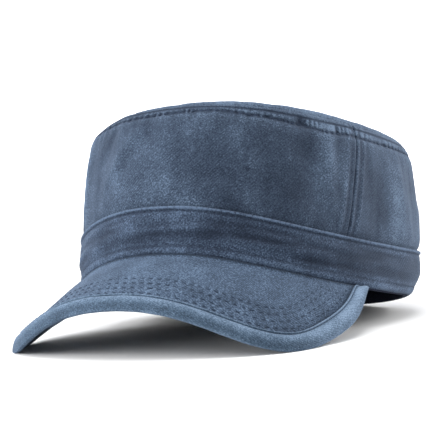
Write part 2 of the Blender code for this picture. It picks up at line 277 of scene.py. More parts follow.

# %% [markdown]
# A piece of cloth has two faces, one wall apart. The outer face has all the rows, and the inner one
# needs far fewer, because it is hardly seen. It lies square to the outer one, so the wall keeps its
# thickness where the cloth slopes.

# %% Sections of cloth
# Painted shade: the inner face of every piece is coloured darker, as the inside of the cap lies in
# shade.
INNER_FACE_SHADE = -0.4


def inner_rows(picked, thickness):
    """Points one wall inside the picked rows of (turn, half length, half width, height)."""
    inner = []
    for index, (turn, half_length, half_width, height) in enumerate(picked):
        before = picked[max(index - 1, 0)]
        after = picked[min(index + 1, len(picked) - 1)]
        out_step = after[1] - before[1]
        up_step = after[3] - before[3]
        size = math.hypot(out_step, up_step) or 1.0
        inward = thickness * up_step / size
        lifted = height + thickness * out_step / size
        inner.append(head_point(turn, half_length - inward, half_width - inward, lifted))
    return inner


def section(turns, outer, thickness, inner_step):
    """A closed section: the outer rows, then a smoother inner face one wall inside."""
    rows = [(turn, *row) for turn, (row, wear_and_shading) in zip(turns, outer)]
    points = [(head_point(*row), wear_and_shading) for row, (_, wear_and_shading) in zip(rows, outer)]
    picked = rows[::inner_step] + ([rows[-1]] if (len(rows) - 1) % inner_step else [])
    inner = inner_rows(picked, thickness)
    spread = []
    last = len(inner) - 1
    for index in range(len(points)):
        place = index * last / (len(points) - 1)
        low = min(int(place), last - 1)
        spread.append((inner[low].lerp(inner[low + 1], place - low), INNER_FACE_SHADE))
    return points + spread[::-1]


plain = section([0] * 5, [(band_row(0, up / 4, 0), 0) for up in range(5)], BAND_WALL, 2)
print("a section of 5 rows has", len(plain), "points")

# %% [markdown]
# The sweatband is the innermost strip. It comes first because the whole cap is placed by it: its
# plain form is rebuilt here as coarsely as in the frame, and its box is set on the frame's box.

# %% The sweatband's ring
SWEATBAND_HEIGHT = 0.0300
SWEATBAND_SHOW = 0.0005
SWEATBAND_WALL = 0.0012
FRAME_ROUND_STEPS = 58
# up: share of the sweatband's height; beside: how far it lies beside the band, not the crown.
SWEATBAND_ROWS = ((0.00, 1.0), (0.45, 1.0), (0.62, 0.0), (1.00, 0.0))


def sweatband_rows(turn):
    """Outer rows of the sweatband from its foot to its head."""
    rows = []
    for up, beside in SWEATBAND_ROWS:
        inside = BAND_WALL + GAP + (CROWN_WALL + GAP) * (1 - beside)
        grow = -inside - hem_tuck(turn, SWEATBAND_HEIGHT * up / BAND_HEIGHT)
        height = lower_edge(turn) - SWEATBAND_SHOW + SWEATBAND_HEIGHT * up
        rows.append((HEAD_HALF_LENGTH + grow, HEAD_HALF_WIDTH + grow, height))
    return rows


# The cap lies tipped back on the back of its hem and on the two corners of the visor.
REST_TURN = Euler((math.radians(-11.641), math.radians(-1.206), math.radians(-0.128)))


def rest_offset():
    """How far the tipped cap is moved to stand where the frame stands."""
    low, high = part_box("sweatband")
    tip = REST_TURN.to_matrix()
    coarse = []
    for turn in round_turns(FRAME_ROUND_STEPS):
        coarse += [tip @ head_point(turn, *row) for row in sweatband_rows(turn)]
    xs = [point.x for point in coarse]
    ys = [point.y for point in coarse]
    zs = [point.z for point in coarse]
    return Vector(((low.x + high.x - min(xs) - max(xs)) / 2, high.y - max(ys), high.z - max(zs)))


OFFSET = rest_offset()
TO_WORLD = Matrix.Translation(OFFSET) @ REST_TURN.to_matrix().to_4x4()
print("the tipped cap is moved by", [round(value, 5) for value in OFFSET])

# %% [markdown]
# A finished mesh is tipped into place and turned into an object that stays at the origin, as the
# frame's own pieces do. What would go under the table is pressed flat, as cloth is where it lies.

# %% Placing pieces on the frame
ABOVE_TABLE = 0.05 * MM


def finish_piece(name, work, material, nodes=()):
    """Tips a mesh into place, flattens what would go under the table and rides it on the frame."""
    bmesh.ops.transform(work, matrix=TO_WORLD, verts=work.verts)
    for vert in work.verts:
        vert.co.z = max(vert.co.z, ABOVE_TABLE)
    mesh = bpy.data.meshes.new(name)
    work.to_mesh(mesh)
    work.free()
    mesh.shade_smooth()
    mesh.materials.append(material)
    piece = bpy.data.objects.new(name, mesh)
    bpy.context.scene.collection.objects.link(piece)
    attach(piece, "root")
    if nodes:
        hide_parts(*nodes)
    print(name, "has", len(mesh.polygons), "faces")
    return piece


# %% [markdown]
# Colours are written as hex values, as in a paint program, and turned to the linear light that the
# renderer counts in. One helper adds any node with its settings and its links.


# %% Colours and nodes
def linear(hex_colour):
    """Linear red, green and blue of an sRGB hex colour."""
    shares = [int(hex_colour[place : place + 2], 16) / 255 for place in (1, 3, 5)]
    return [s / 12.92 if s <= 0.04045 else ((s + 0.055) / 1.055) ** 2.4 for s in shares]


def add(tree, kind, settings=None, links=None):
    """Adds a node with its settings and its input links."""
    node = tree.nodes.new(kind)
    for key, value in (settings or {}).items():
        if isinstance(key, str) and hasattr(node, key):
            setattr(node, key, value)
        else:
            node.inputs[key].default_value = value
    for key, socket in (links or {}).items():
        tree.links.new(socket, node.inputs[key])
    return node


def matt_material(name, roughness):
    """A new material with its node tree and its shader, which hardly shines."""
    material = bpy.data.materials.new(name)
    material.use_nodes = True
    shader = material.node_tree.nodes["Principled BSDF"]
    shader.inputs["Roughness"].default_value = roughness
    return material, material.node_tree, shader


print("middle grey is", round(linear("#808080")[0], 3), "in linear light")

# %% [markdown]
# Cotton twill is woven with slanting ribs. This cloth was dyed after sewing and then tumbled in a wash,
# so its dye is uneven and cloudy. Each point also carries painted light and shade: every ridge and edge
# is painted paler and every groove darker, partly as the wash's real fading and partly as light and
# shade painted into the colour. The eye reads that as age and softness. A painted picture could show it
# too, but noise and the painted wear and shading of each point follow the folds by themselves. The
# raised nap scatters light, so the cloth is matt with a faint glow at grazing angles.

# %% Patterns of washed twill
# Twill ribs lie about 0.5 mm apart and cotton nap is finer still, too fine for the render, so the ribs
# are drawn 1.1 mm apart and the nap in grains of 0.8 mm.
TWILL_PITCH_MM = 1.1
TWILL_SLANT = math.radians(58)
NAP_SIZE = 0.8 * MM
# Clouds and blotches of dye are as wide as the folds that the cloth had in the wash.
CLOUD_SIZE = 16 * MM
BLOTCH_SIZE = 42 * MM
WEAR_AND_SHADING_TO_DYE = 0.30
CLOUD_TO_DYE = 0.8
BLOTCH_TO_DYE = 0.6
RIB_TO_DYE = 0.10
RELIEF_STRENGTH = 0.55
RELIEF_DEPTH = 0.35 * MM
SHEEN_TINT = "#8c9db6"
# size of the cells, detail and roughness of the clouds, the blotches and the nap.
DYE_NOISES = ((CLOUD_SIZE, 5.0, 0.62), (BLOTCH_SIZE, 2.0, 0.5), (NAP_SIZE, 3.0, 0.7))


def twill_ribs(tree):
    """Strength of the slanting ribs, on the cloth's own map in millimetres."""
    weave = add(tree, "ShaderNodeUVMap", {"uv_map": "weave"}).outputs["UV"]
    turned = add(tree, "ShaderNodeMapping", {"Rotation": (0, 0, TWILL_SLANT)}, {"Vector": weave})
    # At a scale of 1 the wave texture's bands are pi / 10 apart.
    scale = math.pi / (10 * TWILL_PITCH_MM)
    settings = {"Scale": scale, "Distortion": 3.0, "Detail": 2.0, "Detail Scale": 1.5}
    links = {"Vector": turned.outputs["Vector"]}
    return add(tree, "ShaderNodeTexWave", settings, links).outputs["Fac"]


print("ribs of twill in 10 mm:", round(10 / TWILL_PITCH_MM))

# %% [markdown]
# The dye's level at each point is the sum of its wear with its painted light and shade, and of four
# patterns: clouds, blotches, nap and ribs. A ramp turns it into dark, middle or pale cloth. The ribs and
# the nap also give the cloth a slight relief, which breaks up the light as a woven face does.


# %% Dyed cloth
def washed_twill(name, dark, middle, pale, cloudy=1.0, napped=1.8, sheen=0.35):
    """Garment-washed cotton twill. cloudy and napped: how strong its clouds and its nap are."""
    material, tree, shader = matt_material(name, 0.95)
    place = add(tree, "ShaderNodeTexCoord").outputs["Object"]
    wear_and_shading = add(tree, "ShaderNodeAttribute", {"attribute_name": "wear_and_shading"}).outputs["Fac"]
    noises = []
    for size, detail, roughness in DYE_NOISES:
        settings = {"Scale": 1 / size, "Detail": detail, "Roughness": roughness}
        noises.append(add(tree, "ShaderNodeTexNoise", settings, {"Vector": place}).outputs["Fac"])
    clouds, blotches, nap = noises
    ribs = twill_ribs(tree)
    shares = (
        (CLOUD_TO_DYE * cloudy, clouds),
        (BLOTCH_TO_DYE * cloudy, blotches),
        (napped, nap),
        (RIB_TO_DYE, ribs),
    )
    # Each pattern lies round 0.5, so half of its share is taken off again.
    start = 0.5 - sum(share for share, _ in shares) / 2
    worn_and_shaded = {"operation": "MULTIPLY_ADD", 1: WEAR_AND_SHADING_TO_DYE, 2: start}
    level = add(tree, "ShaderNodeMath", worn_and_shaded, {0: wear_and_shading})
    for share, socket in shares:
        links = {0: socket, 2: level.outputs[0]}
        level = add(tree, "ShaderNodeMath", {"operation": "MULTIPLY_ADD", 1: share}, links)
    ramp = add(tree, "ShaderNodeValToRGB", {}, {"Fac": level.outputs[0]})
    ramp.color_ramp.elements[0].color = (*linear(dark), 1)
    ramp.color_ramp.elements[1].color = (*linear(pale), 1)
    ramp.color_ramp.elements.new(0.5).color = (*linear(middle), 1)
    tree.links.new(ramp.outputs["Color"], shader.inputs["Base Color"])
    grain = add(tree, "ShaderNodeMath", {"operation": "MULTIPLY_ADD", 1: 0.5}, {0: ribs, 2: nap})
    settings = {"Strength": RELIEF_STRENGTH, "Distance": RELIEF_DEPTH}
    relief = add(tree, "ShaderNodeBump", settings, {"Height": grain.outputs[0]})
    tree.links.new(relief.outputs["Normal"], shader.inputs["Normal"])
    shader.inputs["Specular IOR Level"].default_value = 0.15
    shader.inputs["Sheen Weight"].default_value = sheen
    shader.inputs["Sheen Roughness"].default_value = 0.6
    shader.inputs["Sheen Tint"].default_value = (*linear(SHEEN_TINT), 1)
    return material


# A ridge's full wear and painted light move the dye by this much.
print("full wear of one ridge moves the dye by", WEAR_AND_SHADING_TO_DYE)

# %% [markdown]
# The whole cap is cotton, but its pieces wore differently. The binding at the visor's edge is
# rubbed palest, the band is darker than the crown, and the sweatband is darkest, as painted shade,
# because it lies inside. So each has its own dark, middle and pale colour.

# %% Cloths of the cap
TWILL = "garment-washed cotton twill, "
crown_cotton = washed_twill(TWILL + "crown", "#182130", "#333f50", "#5e7086", 1.0, 2.1)
band_cotton = washed_twill(TWILL + "band", "#141c2a", "#2b3647", "#54657c", 1.0, 2.3)
visor_cotton = washed_twill(TWILL + "visor", "#1b2634", "#37465a", "#5f738b", 0.7, 3.3)
binding_cotton = washed_twill(TWILL + "binding", "#212d3b", "#445669", "#74889f", 0.5)
sweat_cotton = washed_twill("plain cotton, sweatband", "#12141f", "#1f2333", "#33384c", 0.5, 1.8, 0.1)
print("cloths:", [material.name for material in bpy.data.materials if "cotton" in material.name])

# %% [markdown]
# Sewing makes cloth pucker. Thread pulls a seam tight, and washing shrinks the cloth beside it, so
# little hills stand between the stitches. The hills are uneven, so a plain row of waves would look
# like a machine's work: here noise shifts each wave and changes its size.

# %% Puckers
STITCH_PITCH = 3.2 * MM
RIM_PITCH = 4.2 * MM


def pucker(along, pitch, layer):
    """Uneven little hills along a line of stitches, from about -1 to 1."""
    drift = 1.1 * pitch * wrinkle(along, 0, 3 * pitch, 1, layer)
    size = 0.6 + 1.2 * wrinkle(along, 0, 1.9 * pitch, 1, layer + 5)
    return size * math.cos(2 * math.pi * (along + drift) / pitch)


print("a hill at the first stitch:", round(pucker(0, STITCH_PITCH, 4.4), 3))

# %% [markdown]
# The wall has long soft folds where it was creased in the wash and on the head. A cloth simulation
# would put them anywhere, but these have to be where the real cap has them, so each one is a row of a
# table, with its place, lean and depth.

# %% Long folds of the wall
# turn, lean and width in degrees; low and high: shares of the wall; depth in metres, outward if
# positive.
FOLDS = (
    {"turn": -47, "lean": 4, "width": 3.5, "low": -0.2, "high": 1.0, "depth": 0.0014},
    {"turn": -53, "lean": 4, "width": 4, "low": -0.2, "high": 0.9, "depth": -0.0010},
    {"turn": -66, "lean": 4, "width": 16, "low": 0.1, "high": 1.2, "depth": 0.0012},
    {"turn": -34, "lean": 26, "width": 3.5, "low": 0.25, "high": 0.95, "depth": 0.0008},
    {"turn": -40, "lean": 18, "width": 4, "low": 0.5, "high": 1.0, "depth": -0.0009},
    {"turn": -27, "lean": 26, "width": 3.5, "low": 0.3, "high": 0.9, "depth": -0.0004},
    {"turn": 20, "lean": 0, "width": 14, "low": 0.2, "high": 0.8, "depth": -0.0007},
    {"turn": 45, "lean": 2, "width": 4, "low": 0.5, "high": 1.0, "depth": 0.0006},
    {"turn": 55, "lean": -2, "width": 5, "low": 0.1, "high": 0.9, "depth": -0.0008},
    {"turn": 64, "lean": -2, "width": 3, "low": 0.1, "high": 0.9, "depth": 0.0005},
    {"turn": 84, "lean": -4, "width": 4, "low": 0.0, "high": 0.8, "depth": -0.0006},
    {"turn": 98, "lean": -6, "width": 6, "low": -0.2, "high": 1.0, "depth": 0.0012},
    {"turn": 112, "lean": -6, "width": 8, "low": 0.1, "high": 1.0, "depth": -0.0013},
    {"turn": 115, "lean": 0, "width": 20, "low": -0.3, "high": 0.6, "depth": 0.0010},
    {"turn": 150, "lean": 6, "width": 12, "low": 0.1, "high": 0.9, "depth": 0.0008},
    {"turn": -140, "lean": -5, "width": 12, "low": 0.1, "high": 0.9, "depth": -0.0009},
    {"turn": -104, "lean": 4, "width": 8, "low": 0.0, "high": 0.9, "depth": 0.0009},
)
FOLD_END = 0.25


def fold_relief(turn, rise):
    """The wall's long soft folds."""
    total = 0.0
    for fold in FOLDS:
        middle = fold["turn"] + fold["lean"] * rise
        fade = FOLD_END * (fold["high"] - fold["low"])
        within = ease((rise - fold["low"]) / fade) * ease((fold["high"] - rise) / fade)
        total += fold["depth"] * within * turned_bump(turn, middle, fold["width"])
    return total


print("deepest fold:", min(fold["depth"] for fold in FOLDS) / MM, "mm")

# %% [markdown]
# The colour is paler in some places and darker in others, partly dye left uneven by the wash and partly
# light and shade painted where the crown is lit more or less, and that is what the eye sees first on
# this cap. These patches are a table too, because they have to lie where the real ones lie.

# %% Patches of uneven dye and painted light and shade
# turn and its reach in degrees; rise and how far up it reaches as shares of the wall; tone: paler if
# positive.
DYE_AND_SHADING_PATCHES = (
    {"turn": 24, "reach": 26, "rise": 0.45, "up": 0.42, "tone": -0.75},
    {"turn": 48, "reach": 7, "rise": 0.38, "up": 0.26, "tone": -0.80},
    {"turn": 52, "reach": 5, "rise": 0.80, "up": 0.12, "tone": -0.70},
    {"turn": 61, "reach": 4, "rise": 0.60, "up": 0.45, "tone": 0.35},
    {"turn": 84, "reach": 5, "rise": 0.40, "up": 0.45, "tone": -0.70},
    {"turn": 92, "reach": 2, "rise": 0.50, "up": 0.30, "tone": 0.50},
    {"turn": 97, "reach": 3, "rise": 0.30, "up": 0.35, "tone": -0.50},
    {"turn": 72, "reach": 24, "rise": 0.50, "up": 0.90, "tone": -0.45},
    {"turn": -42, "reach": 26, "rise": 0.60, "up": 0.90, "tone": -0.50},
    {"turn": -20, "reach": 8, "rise": 0.25, "up": 0.25, "tone": 0.30},
    {"turn": -28, "reach": 6, "rise": 0.86, "up": 0.12, "tone": -0.90},
    {"turn": -29, "reach": 3, "rise": 0.60, "up": 0.14, "tone": 0.60},
    {"turn": -36, "reach": 3, "rise": 0.38, "up": 0.14, "tone": 0.60},
    {"turn": -45, "reach": 3, "rise": 0.50, "up": 0.60, "tone": 0.80},
    {"turn": -53, "reach": 5, "rise": 0.50, "up": 0.60, "tone": -0.50},
    {"turn": 31, "reach": 1, "rise": 0.45, "up": 0.02, "tone": -2.00},
    {"turn": 150, "reach": 25, "rise": 0.50, "up": 0.50, "tone": -0.50},
    {"turn": -120, "reach": 30, "rise": 0.50, "up": 0.50, "tone": -0.50},
)


def dye_and_shading_patches(turn, rise):
    """How much paler or darker the colour is there, from uneven dye and from painted light and shade."""
    total = 0.0
    for patch in DYE_AND_SHADING_PATCHES:
        beside = turned_bump(turn, patch["turn"], patch["reach"])
        total += patch["tone"] * beside * bump(rise - patch["rise"], patch["up"])
    return total


print("patches of dye:", len(DYE_AND_SHADING_PATCHES))

# %% [markdown]
# Between the long folds the cloth hangs in narrow upright wrinkles, looser near the wearer's left seam
# and at the back. Each relief function gives two values: how far the cloth stands out, and how worn it
# is there together with the light and shade painted on it. Ridges are painted paler and grooves darker,
# partly as faded dye and partly as painted light and shade, so this value grows with depth. In these
# sums, the number before a name is its depth in millimetres or its share of the painted wear and
# shading.

# %% Hanging wrinkles of the wall
SWELLS = {"depth": 0.80, "long": 22, "tall": 48, "layer": 3.1}
WIDE_HANGING = {"depth": 0.45, "long": 10, "tall": 50, "layer": 2.7}
NARROW_HANGING = {"depth": 0.30, "long": 4.8, "tall": 38, "layer": 7.7}
RIM_PULL = 0.30
# Share of the wall's height over which its sewn foot lets go of it.
HELD_FOOT = 0.08
# Where the wall hangs looser, in radians.
LOOSE_TURN = 1.4
LOOSE_REACH = 0.45
BACK_TURN = 1.6


def looseness(turn, below_rim):
    """How loose the wall hangs there."""
    near_rim = 0.3 * bump(below_rim, 20 * MM)
    at_seam = 0.9 * bump(turn - LOOSE_TURN, LOOSE_REACH)
    return 0.3 + near_rim + at_seam + 0.3 * ease(abs(turn) - BACK_TURN)


def wall_relief(turn, rise, strip, high):
    """Depth in metres, and worn dye with painted light and shade, of the wall's folds and wrinkles."""
    along = arc(turn)
    below_rim = (1 - rise) * WALL_HEIGHT
    hanging = wave(NARROW_HANGING, along, high) * looseness(turn, below_rim)
    wide = wave(WIDE_HANGING, along, high)
    pulled = RIM_PULL * pucker(along, 2.3 * RIM_PITCH, 2.2) * bump(below_rim - 1 * MM, 5 * MM)
    free = ease(rise / HELD_FOOT) * (1 - strip)
    depth = fold_relief(turn, rise) + MM * (wave(SWELLS, along, high) + hanging + wide + pulled) * free
    # The colour also follows the depth: grooves are painted darker as shade and ridges paler as light,
    # on top of the wash's fading.
    wear_and_shading = 0.65 * hanging + 0.38 * wide + 0.35 * pulled + 0.26 * depth / MM
    return depth, wear_and_shading + dye_and_shading_patches(turn, rise)


print("depth and wear at the front:", wall_relief(0, 0.5, 0, 0.5 * WALL_HEIGHT))

# %% [markdown]
# The rim's strip is sewn down along its foot and again two thirds of the way up. Between the lines the
# cloth puffs up in hills, most of all at the wearer's left front, and in one place it is pinched into
# a deep notch, painted dark as shade. A line of stitching pulls unevenly, so its groove is deeper in
# some places; the grooves are painted darker as shade too. The strip's hills and its upper half are
# painted paler, partly as light and partly as the wash's fading.

# %% The rim's stitched strip
RIM_SOFTNESS = 1.2 * MM
# Shares of the strip's height.
LOWER_HALF_END = 0.62
MIDDLE_LINE = 0.66
UPPER_HALF_START = 0.70
PUFFY_FROM = math.radians(38)
PUFFY_TO = math.radians(130)
PINCH_HEIGHT = 2.6 * MM
# The notch's place and width in degrees.
PINCH_TURN = 51.5
PINCH_WIDTH = 1.7


def rim_line(turn):
    """Height of the rim's lower stitching above the wall's nominal top: it runs a little wavy."""
    high = 2.0 * turned_bump(turn, 17, 21)
    low = 1.4 * turned_bump(turn, 59, 9)
    return MM * (high - low) + 0.4 * MM * wrinkle(arc(turn), 0, 14 * MM, 1, 6.2)


def rim_relief(turn, high):
    """Depth in millimetres, and worn dye with painted light and shade, of the rim's strip."""
    along = arc(turn)
    above = high - WALL_HEIGHT - rim_line(turn)
    top = RIM_STRIP * rim_share(turn) - rim_line(turn)
    lower_half = ease(above / RIM_SOFTNESS) * ease((LOWER_HALF_END * top - above) / RIM_SOFTNESS)
    upper_half = ease((above - UPPER_HALF_START * top) / (1.0 * MM))
    full = ease((turn - PUFFY_FROM) / math.radians(20)) * ease((PUFFY_TO - turn) / 0.4)
    hills = pucker(along, RIM_PITCH, 9.4) * (0.45 + 0.55 * full) * lower_half
    line = bump(above, 1.0 * MM) * (0.75 + 0.65 * pucker(along, RIM_PITCH, 4.1))
    middle_line = bump(above - MIDDLE_LINE * top, 0.5 * MM)
    under_line = bump(above + 1.8 * MM, 1.5 * MM)
    depth = 0.26 * hills - 0.50 * line - 0.35 * middle_line + 0.15 * under_line
    wear_and_shading = 0.9 * hills - 2.3 * line - 1.7 * middle_line
    wear_and_shading += 0.8 * lower_half + 0.4 * upper_half + 0.35 * under_line
    pinch = turned_bump(turn, PINCH_TURN, PINCH_WIDTH)
    depth -= 1.4 * pinch * bump(above - 1.5 * MM, PINCH_HEIGHT)
    # Painted shade: the notch is coloured much darker.
    wear_and_shading -= 3.2 * pinch * bump(above - 1.2 * MM, PINCH_HEIGHT)
    return depth, wear_and_shading


print("depth and wear in the notch:", rim_relief(math.radians(PINCH_TURN), WALL_HEIGHT))

# %% [markdown]
# The front and back panels meet at the side seams. The seam itself is a narrow groove, one panel's
# edge stands up beside it, and a row of topstitching runs down each side. Under those rows lie the
# folded edges of the cloth, so the rows stand up as pale ridges with a valley between them. The groove
# and the valley are painted darker as shade, and the edge and the rows paler, partly as light and
# partly as wear.

# %% The side seams
SIDE_SEAM = math.radians(73)
SEAM_ROW = 6.4 * MM
SEAM_VALLEY = 0.55 * SEAM_ROW
SEAM_LIP = 1.6 * MM


def seam_relief(rise, high, aside):
    """Depth in millimetres, and worn dye with painted light and shade, of a side seam. aside: distance
    from the seam.
    """
    hills = pucker(high, STITCH_PITCH, 4.4)
    side = math.copysign(1, aside)
    groove = bump(aside, 0.6 * MM) * (0.75 + 0.5 * wrinkle(high, 0, 8 * MM, 1, 1.6))
    lip = bump(aside - SEAM_LIP, 1.0 * MM)
    drift = 1.0 * MM * wrinkle(high, side, 16 * MM, 1, 3.8)
    strength = 0.7 + 0.7 * wrinkle(high, side, 10 * MM, 1, 5.1)
    row = bump(abs(aside) - SEAM_ROW + drift, 1.3 * MM) * strength
    valley = bump(abs(aside) - SEAM_VALLEY, 1.2 * MM)
    fade = ease(rise * 12)
    depth = fade * (-0.45 * groove + 0.30 * lip + (0.35 + 0.12 * hills) * row - 0.2 * valley)
    wear_and_shading = fade * (-1.7 * groove + 0.7 * lip + (0.8 + 0.3 * hills) * row - 0.7 * valley)
    return depth, wear_and_shading


def crown_relief(turn, rise, strip, aside):
    """Depth in metres, and worn dye with painted light and shade, of the crown wall."""
    high = rise * WALL_HEIGHT + strip * RIM_STRIP * rim_share(turn)
    depth, wear_and_shading = wall_relief(turn, rise, strip, high)
    for more_depth, more_wear_and_shading in (rim_relief(turn, high), seam_relief(rise, high, aside)):
        depth += more_depth * MM
        wear_and_shading += more_wear_and_shading
    return depth, wear_and_shading


print("depth and wear in the seam:", crown_relief(SIDE_SEAM, 0.5, 0, 0))

# %% [markdown]
# The wall's section goes from a foot tucked in behind the band up to the rim. On the real cap the side
# seams lean back on their way up, so each section leans too where it is near a seam.

# %% Sections of the crown wall
# rise: share of the wall up to the rim stitching; strip: share of the rim strip; sink: share of the
# way in behind the band; puff: share of the crown's puff.
CROWN_ROWS = (
    (-0.06, 0.0, 1.00, 0.00),
    (0.00, 0.0, 0.80, 0.00),
    (0.06, 0.0, 0.30, 0.10),
    (0.16, 0.0, 0.00, 0.35),
    (0.38, 0.0, 0.00, 0.75),
    (0.60, 0.0, 0.00, 1.00),
    (0.78, 0.0, 0.00, 1.00),
    (0.91, 0.0, 0.00, 0.90),
    (0.97, 0.0, 0.00, 0.65),
    (1.00, 0.0, 0.00, 0.45),
    (1.00, 0.4, 0.00, 0.40),
    (1.00, 0.8, 0.00, 0.15),
    (1.00, 1.0, 0.00, -0.20),
)
FINE_CROWN_ROWS = smooth_rows(CROWN_ROWS, (2, 3, 4, 9, 9, 7, 7, 6, 5, 7, 6, 4))
# A side seam's lean from foot to rim, and how far round from it the cloth leans too, in radians.
SEAM_LEAN = math.radians(5.5)
LEAN_REACH = 0.40


def leaning(turn, rise):
    """The turn of a place on the wall, where the side seams lean back on their way up."""
    near = bump(abs(turn) - SIDE_SEAM, LEAN_REACH) * (1 if turn > 0 else -1)
    return turn + SEAM_LEAN * (min(rise, 1.0) - 0.5) * near


def crown_loop(turn, closing):
    """Section of the crown wall. closing: how far its edge is drawn into the seam."""
    aside = (abs(turn) - SIDE_SEAM) * HEAD_HALF_LENGTH
    turns = []
    outer = []
    for rise, strip, sink, puff in FINE_CROWN_ROWS:
        place = math.remainder(leaning(turn, rise), math.tau)
        depth, wear_and_shading = crown_relief(place, rise, strip, aside)
        depth = depth * ease((rise + 0.02) / HELD_FOOT) - closing
        half_length, half_width, height = crown_row(place, rise, strip, sink, puff)
        turns.append(place)
        outer.append(((half_length + depth, half_width + depth, height), wear_and_shading))
    return section(turns, outer, CROWN_WALL, 4)


print("rows of the wall's section:", len(FINE_CROWN_ROWS))

# %% [markdown]
# Each panel runs a little past its seams, and its edges turn inward there, as sewn cloth does. The two
# panels are separate pieces, so the seam between them is a real line and not a drawn one. The front
# one has finer steps, because it is seen close.

# %% Crown wall panels
SEAM_LAP = math.radians(0.15)
SEAM_TURN_IN = 0.3 * MM
FRONT_STEP = math.radians(0.3)
BACK_STEP = math.radians(0.45)


def wall_panel(start, end, step):
    """Loops across one panel, a little past its seams."""
    steps = round((end - start + 2 * SEAM_LAP) / step)
    loops = []
    for index in range(steps + 1):
        turn = start - SEAM_LAP + (end - start + 2 * SEAM_LAP) * index / steps
        closing = SEAM_TURN_IN * (index in (0, steps))
        loops.append(crown_loop(math.remainder(turn, math.tau), closing))
    return loops


front_loops = wall_panel(-SIDE_SEAM, SIDE_SEAM, FRONT_STEP)
front = bent_wall(front_loops, False, 0.5 * MM, 0.9 * MM)
finish_piece("crown_front_cloth", front, crown_cotton, ["crown_front"])
back_loops = wall_panel(SIDE_SEAM, math.tau - SIDE_SEAM, BACK_STEP)
back = bent_wall(back_loops, False, 0.75 * MM, 0.9 * MM)
finish_piece("crown_back_cloth", back, crown_cotton, ["crown_back"])

# %% [markdown]
# The flat top is an oval panel, slightly domed. Its edge rounds down to the seam with the wall, and
# the seam's stitches pull small hills into it. A filled circle would have no rows to round or to
# pucker, so the panel is bent from a grid too, and all its sections meet in the centre.

# %% Shape of the top
TOP_ROUND = 0.0051
TOP_DOME = 0.0026
TOP_WALL = 0.0014
TOP_FULL = 1 - 0.5 * RIM_SLUMP
# share: of the way out from the top's centre; fall: share of its edge's rounding.
TOP_ROWS = (
    (0.00, 0.00),
    (0.22, 0.00),
    (0.46, 0.00),
    (0.68, 0.01),
    (0.84, 0.04),
    (0.92, 0.12),
    (0.965, 0.32),
    (0.99, 0.64),
    (1.00, 1.00),
)
FINE_TOP_ROWS = smooth_rows(TOP_ROWS, (5, 6, 6, 6, 5, 4, 4, 3))
TOP_WAVES = {"depth": 1.0, "long": 9, "tall": 12, "layer": 1.9}
TOP_SWELLS = {"depth": 1.0, "long": 34, "tall": 34, "layer": 8.8}


def top_relief(turn, share, flat):
    """Lift of the top panel, and its worn dye with painted light."""
    inner = (1 - share) * HEAD_HALF_LENGTH
    hills = pucker(arc(turn), RIM_PITCH, 6.1) * bump(inner - 1.5 * MM, 2.5 * MM)
    waves = wave(TOP_WAVES, arc(turn), inner) * bump(inner - 5 * MM, 10 * MM) * ease(share * 1.5)
    broad = wave(TOP_SWELLS, flat.x, flat.y) * ease((1 - share) * 6)
    lift = MM * (0.22 * hills + 0.35 * waves + 0.9 * broad)
    # Painted light: a paler ring about 4 mm in from the top's edge, where grazing light falls.
    wear_and_shading = 0.4 * hills + 0.5 * waves + 0.4 * broad + 0.9 * bump(inner - 4 * MM, 5 * MM)
    return lift, wear_and_shading


print("lift and wear in the middle:", top_relief(0, 0, Vector()))

# %% [markdown]
# The rim slumps on one side, so the panel's edge is not level. Its middle is, and the height goes over
# from one to the other with the square of the way out, which leaves the middle flat.

# %% Top panel
TOP_SEAM_INSET = 0.2 * MM
TOP_SEAM_DROP = 0.3 * MM
TOP_TUCK = 0.015
FAR_FROM_SEAM = 20 * MM
ROUND_COUNT = 720


def top_loop(turn):
    """Section of the top panel from its centre to the seam and back underneath."""
    seam_length, seam_width, seam_height = crown_row(turn, *CROWN_ROWS[-1])
    rim_depth = crown_relief(turn, 1.0, 1.0, FAR_FROM_SEAM)[0]
    seam_length += rim_depth - TOP_SEAM_INSET
    seam_width += rim_depth - TOP_SEAM_INSET
    edge = seam_height - TOP_SEAM_DROP
    middle = CROWN_HEIGHT + RIM_STRIP * TOP_FULL + GAP + TOP_DOME
    upper = []
    under = []
    for share, fall in FINE_TOP_ROWS:
        near = share * share
        rounded = TOP_ROUND * (1 - fall) * (rim_share(turn) * near + TOP_FULL * (1 - near))
        height = edge * near + middle * (1 - near) + rounded
        flat = head_point(turn, seam_length * share, seam_width * share, height)
        lift, wear_and_shading = top_relief(turn, share, flat)
        upper.append((flat + Vector((0, 0, lift)), wear_and_shading))
        tucked = share * (1 - TOP_TUCK * ease((share - 0.7) / 0.3))
        lowered = height + lift - TOP_WALL
        lowered = max(lowered, edge) if share > 0.85 else lowered
        under.append((head_point(turn, seam_length * tucked, seam_width * tucked, lowered), INNER_FACE_SHADE))
    return upper + under[::-1]


top = bent_wall([top_loop(turn) for turn in round_turns(ROUND_COUNT)], True, 0.8 * MM, 1.5 * MM)
finish_piece("crown_top_cloth", top, crown_cotton, ["crown_top"])

# %% [markdown]
# The band is a folded strip. Its top edge is a raised fold held by a line of stitches, its foot is a
# rolled hem, and between them the washed cloth has creases that run round the head. The main creases
# are a table, and noise adds the small ones. Their hollows are painted darker as shade.

